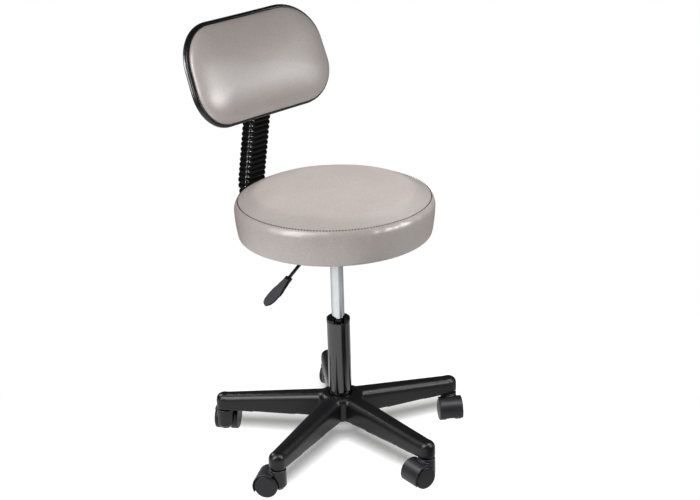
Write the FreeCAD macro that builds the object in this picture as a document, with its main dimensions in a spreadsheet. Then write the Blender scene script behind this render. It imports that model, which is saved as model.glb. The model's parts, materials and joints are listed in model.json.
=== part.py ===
import FreeCAD, Part
import math
import operator
import os
from types import SimpleNamespace

import Sketcher
from FreeCAD import Placement, Rotation, Vector

# Swivel stool with a backrest: a five-legged base on casters, a gas column, a round seat and a back on a bent bar.
# The origin is on the floor under the column, Z is up, the user faces -Y and the back stands at +Y.

doc = FreeCAD.newDocument("stool")

# Driving sizes, in millimetres and degrees
SIZES = {
    # casters
    "wheel_diameter": 50.0,
    "wheel_width": 18.0,
    "wheel_side_gap": 0.8,
    "wheel_edge_round": 4.0,
    "wheel_face": 3.0,
    "web_width": 15.0,
    "web_diameter": 36.0,
    "axle_diameter": 6.0,
    "caster_trail": 21.0,
    "fender_gap": 1.0,
    "fender_wall": 2.5,
    "fender_low_angle": 28.0,
    "fender_high_angle": 120.0,
    "caster_headroom": 6.5,
    "stem_diameter": 11.0,
    "stem_grip": 24.0,
    "stem_foot": 4.0,
    "housing_diameter": 36.0,
    "housing_gap": 2.0,
    "housing_foot": 12.0,
    "housing_foot_diameter": 22.0,
    "housing_taper": 9.0,
    # the way each caster trails, as it stood
    "caster_turn_1": 20.0,
    "caster_turn_2": 34.0,
    "caster_turn_3": 121.0,
    "caster_turn_4": 169.0,
    "caster_turn_5": 231.0,
    # base
    "leg_reach": 266.6,
    "leg_end_diameter": 37.0,
    "leg_end_depth": 36.0,
    "leg_end_round": 14.0,
    "leg_root_reach": 30.0,
    "leg_root_width": 46.0,
    "leg_root_depth": 53.5,
    "leg_top_round": 15.0,
    "hub_diameter": 94.0,
    "hub_depth": 48.0,
    "hub_lift": 12.0,
    "hub_round": 12.0,
    "first_leg_angle": 49.9,
    "hub_skirt": 8.0,
    "leg_root_step": 1.0,
    "leg_end_step": 0.5,
    "leg_wall": 5.0,
    "leg_roof": 10.0,
    "leg_rib": 4.0,
    "cell_start": 58.0,
    "cell_end_gap": 25.0,
    "cell_overcut": 1.0,
    # column and gas spring
    "tube_diameter": 50.0,
    "tube_foot_diameter": 47.0,
    "tube_wall": 2.0,
    "tube_floor": 3.0,
    "tube_drop": 6.0,
    "tube_standing": 169.0,
    "bush_length": 90.0,
    "bush_lip": 0.6,
    "bush_lip_height": 9.0,
    "bush_funnel": 1.0,
    "bush_mouth": 1.0,
    "bush_chamfer": 2.0,
    "bush_window": 23.0,
    "bush_tab": 9.6,
    "bush_tab_wall": 2.4,
    "bush_flange": 0.8,
    "bush_turn": 228.0,
    "cylinder_diameter": 28.0,
    "cylinder_wall": 1.8,
    "cylinder_length": 254.0,
    "cylinder_cap": 15.0,
    "taper_length": 36.0,
    "taper_drop": 0.8,
    "gland_length": 15.0,
    "rod_diameter": 10.0,
    "rod_below": 6.0,
    "shoulder_width": 3.0,
    "shoulder_height": 3.0,
    "clip_height": 2.0,
    "clip_width": 4.0,
    "piston_length": 15.0,
    "piston_gap": 2.0,
    "rod_neck": 1.5,
    "race_height": 2.5,
    "race_width": 7.0,
    "race_bore_gap": 1.5,
    "ball_diameter": 4.0,
    "stroke_room": 135.0,
    "valve_diameter": 5.0,
    "valve_reach": 7.0,
    "valve_length": 25.0,
    # seat mechanism
    "socket_wall": 6.0,
    "socket_length": 30.0,
    "socket_step": 2.0,
    "saddle_width": 90.0,
    "saddle_front": 55.0,
    "saddle_back": 60.0,
    "saddle_wall": 3.0,
    "saddle_depth": 39.0,
    "plate_width": 170.0,
    "plate_front": 85.0,
    "plate_back": 150.0,
    "plate_thickness": 3.0,
    "plate_round": 14.0,
    "seat_hole_pitch": 140.0,
    "seat_screw_diameter": 6.0,
    "screw_head_diameter": 12.0,
    "screw_head_height": 4.5,
    "tee_barrel_diameter": 9.8,
    "tee_flange_diameter": 20.0,
    "tee_flange_height": 1.6,
    "tee_length": 12.0,
    # lever
    "lever_diameter": 7.0,
    "lever_headroom": 10.2,
    "lever_pivot_reach": 8.0,
    "lever_inner_end": 2.0,
    "lever_corner": 62.0,
    "lever_bend_radius": 18.0,
    "lever_slope": 31.0,
    "lever_tail": 125.5,
    "eye_diameter": 13.0,
    "eye_width": 10.0,
    "pin_diameter": 5.0,
    "ear_gap": 0.5,
    "ear_thickness": 3.0,
    "ear_height": 17.0,
    "ear_margin": 6.5,
    "paddle_start": 91.5,
    "paddle_length": 82.0,
    "paddle_width": 31.0,
    "paddle_thickness": 9.0,
    "paddle_neck_diameter": 14.0,
    "paddle_tip_width": 9.0,
    "paddle_tip_thickness": 5.0,
    "pin_overhang": 1.0,
    # seat
    "board_radius": 194.0,
    "board_thickness": 15.0,
    "seat_seam_radius": 204.0,
    "seat_side_height": 78.0,
    "seat_side_bulge": 96.0,
    "seat_foot_radius": 207.0,
    "seat_foot_height": 6.0,
    "seat_lip": 5.0,
    "seat_shoulder_width": 32.0,
    "seat_shoulder_height": 17.0,
    "seat_shoulder_radius": 38.0,
    "seat_crown": 8.0,
    # back bar and its guide
    "bar_width": 38.0,
    "bar_thickness": 8.0,
    "bar_drop": 17.0,
    "bar_front": 68.0,
    "bar_bend_start": 178.5,
    "bar_bend_radius": 76.0,
    "upright_lean": 10.2,
    "upright_length": 181.5,
    "back_bend_radius": 60.0,
    "back_lean": 20.8,
    "bar_tail": 128.0,
    "guide_wall": 4.0,
    "guide_start": 64.0,
    "guide_length": 86.0,
    # bellows
    "bellows_side_room": 5.0,
    "bellows_face_room": 5.8,
    "bellows_fold": 4.5,
    "bellows_wall": 2.0,
    "bellows_corner": 3.0,
    "bellows_end_gap": 4.5,
    "bellows_end_wall": 3.0,
    "bellows_ribs": 17,
    "bellows_start_angle": 25.0,
    # backrest
    "back_offset": 76.2,
    "back_height": 225.0,
    "back_top_width": 382.0,
    "back_bottom_width": 396.0,
    "back_top_round": 92.0,
    "back_bottom_round": 85.0,
    "back_curve_radius": 930.0,
    "shell_depth": 17.0,
    "shell_wall": 5.0,
    "rim_width": 8.0,
    "back_board_thickness": 7.0,
    "back_cushion_swell": 34.0,
    "bracket_wall": 3.0,
    "bracket_wing": 15.0,
    "bracket_length": 72.0,
    "back_hole_pitch": 60.0,
    "back_screw_diameter": 5.0,
    "back_screw_head_diameter": 9.0,
    "back_screw_head_height": 3.0,
    # knobs
    "knob_diameter": 36.0,
    "knob_height": 20.0,
    "knob_stand": 2.0,
    "knob_flute_diameter": 12.0,
    "knob_round": 3.0,
    "stud_diameter": 8.0,
    "stud_grip": 12.0,
    "stud_gap": 0.1,
    "depth_knob_place": 125.0,
    # clearances
    "running_gap": 0.05,
    "seat_gap": 0.05,
    "slide_gap": 0.2,
    "soft_gap": 0.3,
    "touch_gap": 0.02,
    "lever_gap": 0.3,
}
LEG_COUNT = 5
LEG_CELLS = 3
BUSH_WINDOWS = 2
BALL_COUNT = 10
FLUTE_COUNT = 6
BORE_STEPS = 4

OPERATIONS = {"+": operator.add, "-": operator.sub, "*": operator.mul, "/": operator.truediv}


class Size:
    """A length or an angle: its number, and the expression on the sheets that gives it."""

    def __init__(self, value, text):
        self.value = value
        self.text = text

    def __add__(self, other):
        return combined(self, "+", other)

    def __radd__(self, other):
        return combined(other, "+", self)

    def __sub__(self, other):
        return combined(self, "-", other)

    def __rsub__(self, other):
        return combined(other, "-", self)

    def __mul__(self, other):
        return combined(self, "*", other)

    def __rmul__(self, other):
        return combined(other, "*", self)

    def __truediv__(self, other):
        return combined(self, "/", other)

    def __neg__(self):
        return combined(-1, "*", self)


def as_size(number):
    if isinstance(number, Size):
        return number
    return Size(number, f"({number})")


def combined(left, sign, right):
    left = as_size(left)
    right = as_size(right)
    return Size(OPERATIONS[sign](left.value, right.value), f"({left.text} {sign} {right.text})")


def sine(angle):
    return Size(math.sin(math.radians(angle.value)), f"sin({angle.text})")


def cosine(angle):
    return Size(math.cos(math.radians(angle.value)), f"cos({angle.text})")


def tangent(angle):
    return Size(math.tan(math.radians(angle.value)), f"tan({angle.text})")


sheet = doc.addObject("Spreadsheet::Sheet", "sizes")
for row, (name, value) in enumerate(SIZES.items(), 1):
    sheet.set(f"A{row}", name)
    sheet.set(f"B{row}", str(value))
    sheet.setAlias(f"B{row}", name)
doc.recompute()
S = SimpleNamespace(**{name: Size(float(sheet.get(name)), f"sizes.{name}") for name in SIZES})

# Places that follow from the driving sizes, on a sheet of their own
places = doc.addObject("Spreadsheet::Sheet", "places")
place_names = []


def derive(name, size):
    place_names.append(name)
    row = len(place_names)
    places.set(f"A{row}", name)
    places.set(f"B{row}", "=" + size.text.replace("places.", ""))
    places.setAlias(f"B{row}", name)
    return Size(size.value, f"places.{name}")


wheel_radius = derive("wheel_radius", S.wheel_diameter / 2)
leg_bottom = derive("leg_bottom", S.wheel_diameter + S.fender_gap + S.fender_wall + S.caster_headroom)
hub_bottom = derive("hub_bottom", leg_bottom + S.hub_lift)
hub_top = derive("hub_top", hub_bottom + S.hub_depth)
tube_bottom = derive("tube_bottom", hub_bottom - S.tube_drop)
tube_top = derive("tube_top", hub_top + S.tube_standing)
tube_radius = derive("tube_radius", S.tube_diameter / 2)
tube_inside = derive("tube_inside", tube_radius - S.tube_wall)
foot_radius = derive("foot_radius", S.tube_foot_diameter / 2)
floor_top = derive("floor_top", tube_bottom + S.tube_floor)
race_top = derive("race_top", floor_top + S.race_height)
ball_height = derive("ball_height", race_top + S.touch_gap + S.ball_diameter / 2)
upper_race_bottom = derive("upper_race_bottom", ball_height + S.ball_diameter / 2 + S.touch_gap)
shoulder_bottom = derive("shoulder_bottom", upper_race_bottom + S.race_height)
shoulder_top = derive("shoulder_top", shoulder_bottom + S.shoulder_height)
rod_radius = derive("rod_radius", S.rod_diameter / 2)
race_bore = derive("race_bore", rod_radius + S.race_bore_gap)
cylinder_radius = derive("cylinder_radius", S.cylinder_diameter / 2)
cylinder_inside = derive("cylinder_inside", cylinder_radius - S.cylinder_wall)
cylinder_bottom = derive("cylinder_bottom", shoulder_top + S.stroke_room)
cylinder_top = derive("cylinder_top", cylinder_bottom + S.cylinder_length)
taper_start = derive("taper_start", cylinder_top - S.taper_length)
piston_bottom = derive("piston_bottom", cylinder_bottom + S.gland_length + S.piston_gap)
piston_top = derive("piston_top", piston_bottom + S.piston_length)
valve_radius = derive("valve_radius", S.valve_diameter / 2)
valve_top = derive("valve_top", cylinder_top + S.valve_reach)
lever_radius = derive("lever_radius", S.lever_diameter / 2)
lever_height = derive("lever_height", valve_top + S.lever_gap + lever_radius)
lever_pivot = derive("lever_pivot", S.saddle_width / 2 + S.lever_pivot_reach)
plate_bottom = derive("plate_bottom", lever_height + S.lever_headroom)
board_bottom = derive("board_bottom", plate_bottom + S.plate_thickness)
board_top = derive("board_top", board_bottom + S.board_thickness)
saddle_bottom = derive("saddle_bottom", plate_bottom - S.saddle_depth)
socket_radius = derive("socket_radius", cylinder_radius + S.socket_wall)
bar_height = derive("bar_height", plate_bottom - S.bar_drop)
bar_half = derive("bar_half", S.bar_thickness / 2)
guide_half = derive("guide_half", S.bar_width / 2 + S.slide_gap + S.guide_wall)
guide_bottom = derive("guide_bottom", bar_height - bar_half - S.slide_gap - S.guide_wall)

# The bar's centre line in the YZ plane: a run, a bend, the upright, a second bend and the part behind the back
lean_sine = derive("lean_sine", sine(S.upright_lean))
lean_cosine = derive("lean_cosine", cosine(S.upright_lean))
back_sine = derive("back_sine", sine(S.back_lean))
back_cosine = derive("back_cosine", cosine(S.back_lean))
bend_height = derive("bend_height", bar_height + S.bar_bend_radius)
upright_y = derive("upright_y", S.bar_bend_start + S.bar_bend_radius * lean_cosine)
upright_z = derive("upright_z", bend_height + S.bar_bend_radius * lean_sine)
corner_y = derive("corner_y", upright_y - S.upright_length * lean_sine)
corner_z = derive("corner_z", upright_z + S.upright_length * lean_cosine)
back_turn = derive("back_turn", tangent((S.upright_lean + S.back_lean) / 2) * S.back_bend_radius)

# The backrest's own frame: its origin is the middle of the rim's front, Y points back and Z up along the rest
bar_depth = derive("bar_depth", S.shell_depth + S.touch_gap + S.bracket_wall + S.slide_gap + bar_half)
back_y = derive("back_y", corner_y + S.back_offset * back_sine - bar_depth * back_cosine)
back_z = derive("back_z", corner_z + S.back_offset * back_cosine + bar_depth * back_sine)
bracket_half = derive("bracket_half", S.bar_width / 2 + S.slide_gap + S.bracket_wall)
bracket_front = derive("bracket_front", S.shell_depth + S.touch_gap)
bracket_back = derive("bracket_back", bar_depth + bar_half + S.slide_gap + S.bracket_wall)
doc.recompute()

X_AXIS = Vector(1, 0, 0)
Z_AXIS = Vector(0, 0, 1)
parts = []


def new_part(kind, label):
    """A sub-part of the stool, whose label names its file."""
    part = doc.addObject(kind, label)
    part.Label = label
    parts.append(part)
    return part


def bind(item, **sizes):
    """Sets properties and ties them to the sheets; a double underscore stands for a dot."""
    for name, size in sizes.items():
        item.setExpression(name.replace("__", "."), as_size(size).text)


def origin_item(body, role):
    return next(item for item in body.Origin.OriginFeatures if item.Role == role)


def new_sketch(body, role, x=0, y=0, lift=0):
    """A sketch on one of the body's origin planes, moved in the plane by x and y, and by lift along its normal."""
    sketch = body.newObject("Sketcher::SketchObject", body.Label + "_sketch")
    sketch.AttachmentSupport = [(origin_item(body, role), "")]
    sketch.MapMode = "FlatFace"
    for axis, size in (("x", x), ("y", y), ("z", lift)):
        if size != 0:
            sketch.setExpression(f"AttachmentOffset.Base.{axis}", as_size(size).text)
    return sketch


def line_or_arc(start, end, radius):
    """A line, or an arc of less than a half circle: a positive radius turns left, a negative one right."""
    if radius == 0:
        return Part.LineSegment(start, end)
    chord = end - start
    left = Vector(-chord.y, chord.x, 0).normalize()
    height = math.sqrt(max(radius * radius - chord.Length ** 2 / 4, 0.0))
    centre = (start + end) / 2 + left * math.copysign(height, radius)
    first, last = (start, end) if radius > 0 else (end, start)
    angles = [math.atan2(point.y - centre.y, point.x - centre.x) for point in (first, last)]
    return Part.ArcOfCircle(Part.Circle(centre, Z_AXIS, abs(radius)), angles[0], angles[1])


def pin_point(sketch, edge, end, x, y):
    """Ties one end of an edge to its two coordinates."""
    for kind, axis, size in (("DistanceX", -2, as_size(x)), ("DistanceY", -1, as_size(y))):
        if size.value == 0:
            sketch.addConstraint(Sketcher.Constraint("PointOnObject", edge, end, axis))
        else:
            index = sketch.addConstraint(Sketcher.Constraint(kind, -1, 1, edge, end, size.value))
            sketch.setExpression(f"Constraints[{index}]", size.text)


def draw(sketch, corners, closed=True):
    """Draws a chain of lines and arcs; a corner's third item is the radius of the arc that leads to the next one."""
    points = [Vector(as_size(corner[0]).value, as_size(corner[1]).value, 0) for corner in corners]
    radii = [as_size(corner[2]) if len(corner) > 2 else as_size(0) for corner in corners]
    count = len(corners) if closed else len(corners) - 1
    first = sketch.GeometryCount
    ends = []
    for step in range(count):
        radius = radii[step].value
        sketch.addGeometry(line_or_arc(points[step], points[(step + 1) % len(points)], radius))
        ends.append((2, 1) if radius < 0 else (1, 2))
    for step in range(count if closed else count - 1):
        following = (step + 1) % count
        joint = Sketcher.Constraint("Coincident", first + step, ends[step][1], first + following, ends[following][0])
        sketch.addConstraint(joint)
    for step in range(count):
        pin_point(sketch, first + step, ends[step][0], corners[step][0], corners[step][1])
        if radii[step].value != 0:
            size = radii[step] if radii[step].value > 0 else -radii[step]
            index = sketch.addConstraint(Sketcher.Constraint("Radius", first + step, size.value))
            sketch.setExpression(f"Constraints[{index}]", size.text)
    if not closed:
        pin_point(sketch, first + count - 1, ends[-1][1], corners[-1][0], corners[-1][1])


def draw_circle(sketch, x, y, radius):
    centre = Vector(as_size(x).value, as_size(y).value, 0)
    edge = sketch.addGeometry(Part.Circle(centre, Z_AXIS, radius.value))
    pin_point(sketch, edge, 3, x, y)
    index = sketch.addConstraint(Sketcher.Constraint("Radius", edge, radius.value))
    sketch.setExpression(f"Constraints[{index}]", radius.text)


def rectangle(x0, y0, x1, y1):
    return [(x0, y0), (x1, y0), (x1, y1), (x0, y1)]


def rounded_rectangle(x0, y0, x1, y1, radius):
    return [(x0 + radius, y0), (x1 - radius, y0, radius), (x1, y0 + radius), (x1, y1 - radius, radius),
            (x1 - radius, y1), (x0 + radius, y1, radius), (x0, y1 - radius), (x0, y0 + radius, radius)]


def add_turn(body, corners, x=0):
    """Turns an outline of radius and height about the body's Z axis, or about a line at x beside it."""
    sketch = new_sketch(body, "XZ_Plane", x=x)
    draw(sketch, corners)
    turn = body.newObject("PartDesign::Revolution", body.Label + "_turn")
    turn.Profile = sketch
    turn.ReferenceAxis = (sketch, ["V_Axis"])
    turn.Angle = 360
    return turn


def turned(label, corners):
    body = new_part("PartDesign::Body", label)
    add_turn(body, corners)
    return body


def add_pad(body, sketch, length, side="One side", turned_round=False):
    pad = body.newObject("PartDesign::Pad", body.Label + "_pad")
    pad.Profile = sketch
    pad.SideType = side
    pad.Reversed = turned_round
    bind(pad, Length=length)
    return pad


def add_pocket(body, sketch, side="Symmetric", length=None, turned_round=False):
    """A cut through everything, or to a depth against the sketch's normal."""
    pocket = body.newObject("PartDesign::Pocket", body.Label + "_pocket")
    pocket.Profile = sketch
    pocket.SideType = side
    pocket.Reversed = turned_round
    if length is None:
        pocket.Type = "ThroughAll"
    else:
        bind(pocket, Length=length)
    return pocket


def add_polar(body, originals, count):
    pattern = body.newObject("PartDesign::PolarPattern", body.Label + "_polar")
    pattern.Originals = originals
    pattern.Axis = (origin_item(body, "Z_Axis"), [""])
    pattern.Angle = 360
    pattern.Occurrences = count
    body.Tip = pattern
    return pattern


def ring(label, inner, outer, low, high):
    return turned(label, rectangle(inner, low, outer, high))


# Base

def leg_section(body, reach, half_width, low, high):
    sketch = new_sketch(body, "YZ_Plane", lift=reach)
    rounding = S.leg_top_round
    draw(sketch, [(-half_width, low), (half_width, low), (half_width, high - rounding, rounding),
                  (half_width - rounding, high), (rounding - half_width, high, rounding),
                  (-half_width, high - rounding)])
    return sketch


def hollow_leg(body, root_low, root_top, end_half, end_top):
    """Cells open at the underside, with a rib between one and the next, as such a star is moulded."""
    def section(reach):
        share = (reach - S.leg_root_reach) / (S.leg_reach - S.leg_root_reach)
        half_width = S.leg_root_width / 2 + (end_half - S.leg_root_width / 2) * share - S.leg_wall
        low = root_low + (leg_bottom - root_low) * share - S.cell_overcut
        high = root_top + (end_top - root_top) * share - S.leg_roof
        sketch = new_sketch(body, "YZ_Plane", lift=reach)
        draw(sketch, rectangle(-half_width, low, half_width, high))
        return sketch

    pitch = (S.leg_reach - S.cell_end_gap - S.cell_start + S.leg_rib) / LEG_CELLS
    cells = []
    for number in range(LEG_CELLS):
        start = S.cell_start + pitch * number
        cell = body.newObject("PartDesign::SubtractiveLoft", "leg_cell")
        cell.Profile = section(start)
        cell.Sections = [section(start + pitch - S.leg_rib)]
        cell.Ruled = True
        cells.append(cell)
    return cells


def build_base():
    body = new_part("PartDesign::Body", "base_star")
    bore_low = foot_radius + (tube_radius - foot_radius) * S.tube_drop / (S.tube_drop + S.hub_depth) + S.seat_gap
    hub_radius = S.hub_diameter / 2
    root_top = hub_top - S.leg_root_step
    root_low = root_top - S.leg_root_depth
    # The hub, with a skirt that goes down as far as the legs' roots
    add_turn(body, [(bore_low, hub_bottom), (hub_radius - S.hub_skirt, hub_bottom), (hub_radius - S.hub_skirt, root_low),
                    (hub_radius, root_low), (hub_radius, hub_top - S.hub_round, S.hub_round),
                    (hub_radius - S.hub_round, hub_top), (tube_radius + S.seat_gap, hub_top)])
    end_radius = S.leg_end_diameter / 2
    end_top = leg_bottom + S.leg_end_depth
    boss = add_turn(body, [(0, leg_bottom), (end_radius, leg_bottom),
                           (end_radius, end_top - S.leg_end_round, S.leg_end_round),
                           (end_radius - S.leg_end_round, end_top), (0, end_top)], x=S.leg_reach)
    leg = body.newObject("PartDesign::AdditiveLoft", "leg")
    end_half = end_radius - S.seat_gap
    leg.Profile = leg_section(body, S.leg_root_reach, S.leg_root_width / 2, root_low, root_top)
    leg.Sections = [leg_section(body, S.leg_reach, end_half, leg_bottom, end_top - S.leg_end_step)]
    leg.Ruled = True
    cells = hollow_leg(body, root_low, root_top, end_half, end_top - S.leg_end_step)
    bore = body.newObject("PartDesign::Groove", "stem_bore")
    bore_sketch = new_sketch(body, "XZ_Plane", x=S.leg_reach)
    bore_top = leg_bottom + S.stem_grip + S.touch_gap
    draw(bore_sketch, rectangle(0, leg_bottom, S.stem_diameter / 2 + S.running_gap, bore_top))
    bore.Profile = bore_sketch
    bore.ReferenceAxis = (bore_sketch, ["V_Axis"])
    bore.Angle = 360
    add_polar(body, [boss, leg, *cells, bore], LEG_COUNT)
    # The loft starts inside the column's bore, so the bore is cut again through the finished star
    column_bore = body.newObject("PartDesign::Groove", "column_bore")
    column_sketch = new_sketch(body, "XZ_Plane")
    draw(column_sketch, [(0, hub_bottom), (bore_low, hub_bottom), (tube_radius + S.seat_gap, hub_top), (0, hub_top)])
    column_bore.Profile = column_sketch
    column_bore.ReferenceAxis = (column_sketch, ["V_Axis"])
    column_bore.Angle = 360
    body.Tip = column_bore
    body.Placement = Placement(Vector(), Rotation(Z_AXIS, S.first_leg_angle.value))
    bind(body, Placement__Rotation__Angle=S.first_leg_angle)


# Column, bearing and gas spring

def build_column():
    rod_hole = rod_radius + S.running_gap
    turned("column_tube", [(rod_hole, tube_bottom), (foot_radius, tube_bottom), (tube_radius, hub_top),
                           (tube_radius, tube_top), (tube_inside, tube_top), (tube_inside, hub_top),
                           (foot_radius - S.tube_wall, floor_top), (rod_hole, floor_top)])
    bore = cylinder_radius + S.running_gap
    lip_radius = tube_radius + S.bush_lip
    lip_top = tube_top + S.bush_lip_height
    wall = tube_inside - S.seat_gap
    bush = turned("guide_bush", [(bore, tube_top - S.bush_length), (wall, tube_top - S.bush_length), (wall, tube_top),
                                 (lip_radius, tube_top), (lip_radius, lip_top - S.bush_chamfer),
                                 (lip_radius - S.bush_chamfer, lip_top), (bore + S.bush_mouth, lip_top),
                                 (bore, lip_top - S.bush_funnel)])
    # Windows in the lip, each with a tab left standing beside the cylinder
    window = new_sketch(bush, "XY_Plane", lift=lip_top)
    side = S.bush_window / 2
    tab_side = S.bush_tab / 2
    tab_face = bore + S.bush_tab_wall
    outside = lip_radius + S.bush_chamfer
    draw(window, [(0, -side), (outside, -side), (outside, side), (0, side), (0, tab_side), (tab_face, tab_side),
                  (tab_face, -tab_side), (0, -tab_side)])
    cut = add_pocket(bush, window, "One side", S.bush_lip_height - S.bush_flange)
    add_polar(bush, [cut], BUSH_WINDOWS)
    bush.Placement = Placement(Vector(), Rotation(Z_AXIS, S.bush_turn.value))
    bind(bush, Placement__Rotation__Angle=S.bush_turn)
    ring("lower_race", race_bore, race_bore + S.race_width, floor_top, race_top)
    ring("upper_race", race_bore, race_bore + S.race_width, upper_race_bottom, shoulder_bottom)
    balls = new_part("PartDesign::Body", "bearing_balls")
    ball_radius = S.ball_diameter / 2
    ball = add_turn(balls, [(0, ball_height - ball_radius, ball_radius), (ball_radius, ball_height, ball_radius),
                            (0, ball_height + ball_radius)], x=race_bore + S.race_width / 2)
    add_polar(balls, [ball], BALL_COUNT)


def build_gas_spring():
    neck = rod_radius - S.rod_neck
    collar = rod_radius + S.shoulder_width
    rod_low = tube_bottom - S.rod_below
    turned("piston_rod", [(0, rod_low), (rod_radius, rod_low), (rod_radius, shoulder_bottom), (collar, shoulder_bottom),
                          (collar, shoulder_top), (rod_radius, shoulder_top), (rod_radius, piston_bottom),
                          (neck, piston_bottom), (neck, piston_top), (0, piston_top)])
    ring("piston_head", neck + S.seat_gap, cylinder_inside - S.running_gap, piston_bottom, piston_top)
    clip_top = tube_bottom - S.slide_gap
    clip_bore = rod_radius + S.seat_gap
    ring("retaining_clip", clip_bore, clip_bore + S.clip_width, clip_top - S.clip_height, clip_top)
    valve_bore = valve_radius + S.running_gap
    cap_bottom = cylinder_top - S.cylinder_cap
    turned("gas_cylinder", [(cylinder_inside, cylinder_bottom), (cylinder_radius, cylinder_bottom),
                            (cylinder_radius, taper_start), (cylinder_radius - S.taper_drop, cylinder_top),
                            (valve_bore, cylinder_top), (valve_bore, cap_bottom), (cylinder_inside, cap_bottom)])
    ring("gland_bush", rod_radius + S.running_gap, cylinder_inside - S.seat_gap, cylinder_bottom,
         cylinder_bottom + S.gland_length)
    turned("valve_pin", rectangle(0, valve_top - S.valve_length, valve_radius, valve_top))


# Seat mechanism

def build_mechanism():
    socket_top = cylinder_top - S.socket_step
    socket_bottom = socket_top - S.socket_length
    taper = S.taper_drop / S.taper_length
    wide = cylinder_radius + S.seat_gap - (socket_bottom - taper_start) * taper
    narrow = cylinder_radius + S.seat_gap - (socket_top - taper_start) * taper
    turned("taper_socket", [(wide, socket_bottom), (socket_radius, socket_bottom), (socket_radius, socket_top),
                            (narrow, socket_top)])

    saddle = new_part("PartDesign::Body", "saddle")
    half = S.saddle_width / 2
    inside = half - S.saddle_wall
    channel = new_sketch(saddle, "XZ_Plane")
    web_top = saddle_bottom + S.saddle_wall
    draw(channel, [(-half, saddle_bottom), (half, saddle_bottom), (half, plate_bottom), (inside, plate_bottom),
                   (inside, web_top), (-inside, web_top), (-inside, plate_bottom), (-half, plate_bottom)])
    pad = add_pad(saddle, channel, S.saddle_front, "Two sides")
    bind(pad, Length2=S.saddle_back)
    ear_low = lever_height - S.ear_height / 2
    ear_high = lever_height + S.ear_height / 2
    ear_tip = -lever_pivot - S.ear_margin
    gap_width = S.eye_width + 2 * S.ear_gap
    ears = new_sketch(saddle, "XZ_Plane")
    draw(ears, rectangle(ear_tip, ear_low, -inside, ear_high))
    add_pad(saddle, ears, gap_width + 2 * S.ear_thickness, "Symmetric")
    slot = new_sketch(saddle, "XZ_Plane")
    draw(slot, rectangle(ear_tip - S.ear_margin, ear_low, -inside + S.saddle_wall, ear_high))
    add_pocket(saddle, slot, length=gap_width)
    pin_hole = new_sketch(saddle, "XZ_Plane")
    draw_circle(pin_hole, -lever_pivot, lever_height, S.pin_diameter / 2 + S.running_gap)
    add_pocket(saddle, pin_hole)
    socket_hole = new_sketch(saddle, "XY_Plane")
    draw_circle(socket_hole, 0, 0, socket_radius + S.seat_gap)
    add_pocket(saddle, socket_hole)

    plate = new_part("PartDesign::Body", "seat_plate")
    outline = new_sketch(plate, "XY_Plane", lift=plate_bottom)
    half = S.plate_width / 2
    draw(outline, rounded_rectangle(-half, -S.plate_front, half, S.plate_back, S.plate_round))
    pitch = S.seat_hole_pitch / 2
    for x, y in ((1, 1), (-1, 1), (-1, -1), (1, -1)):
        draw_circle(outline, x * pitch, y * pitch, S.seat_screw_diameter / 2 + S.slide_gap)
    add_pad(plate, outline, S.plate_thickness)

    guide = new_part("PartDesign::Body", "bar_guide")
    section = new_sketch(guide, "XZ_Plane", lift=-S.guide_start)
    bore_half = S.bar_width / 2 + S.slide_gap
    bore_rise = bar_half + S.slide_gap
    draw(section, rectangle(-guide_half, guide_bottom, guide_half, plate_bottom))
    draw(section, rectangle(-bore_half, bar_height - bore_rise, bore_half, bar_height + bore_rise))
    add_pad(guide, section, S.guide_length, turned_round=True)
    stud_hole = new_sketch(guide, "XY_Plane", lift=bar_height)
    draw_circle(stud_hole, 0, S.depth_knob_place, S.stud_diameter / 2 + S.running_gap)
    add_pocket(guide, stud_hole, "One side")


# Lever

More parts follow.
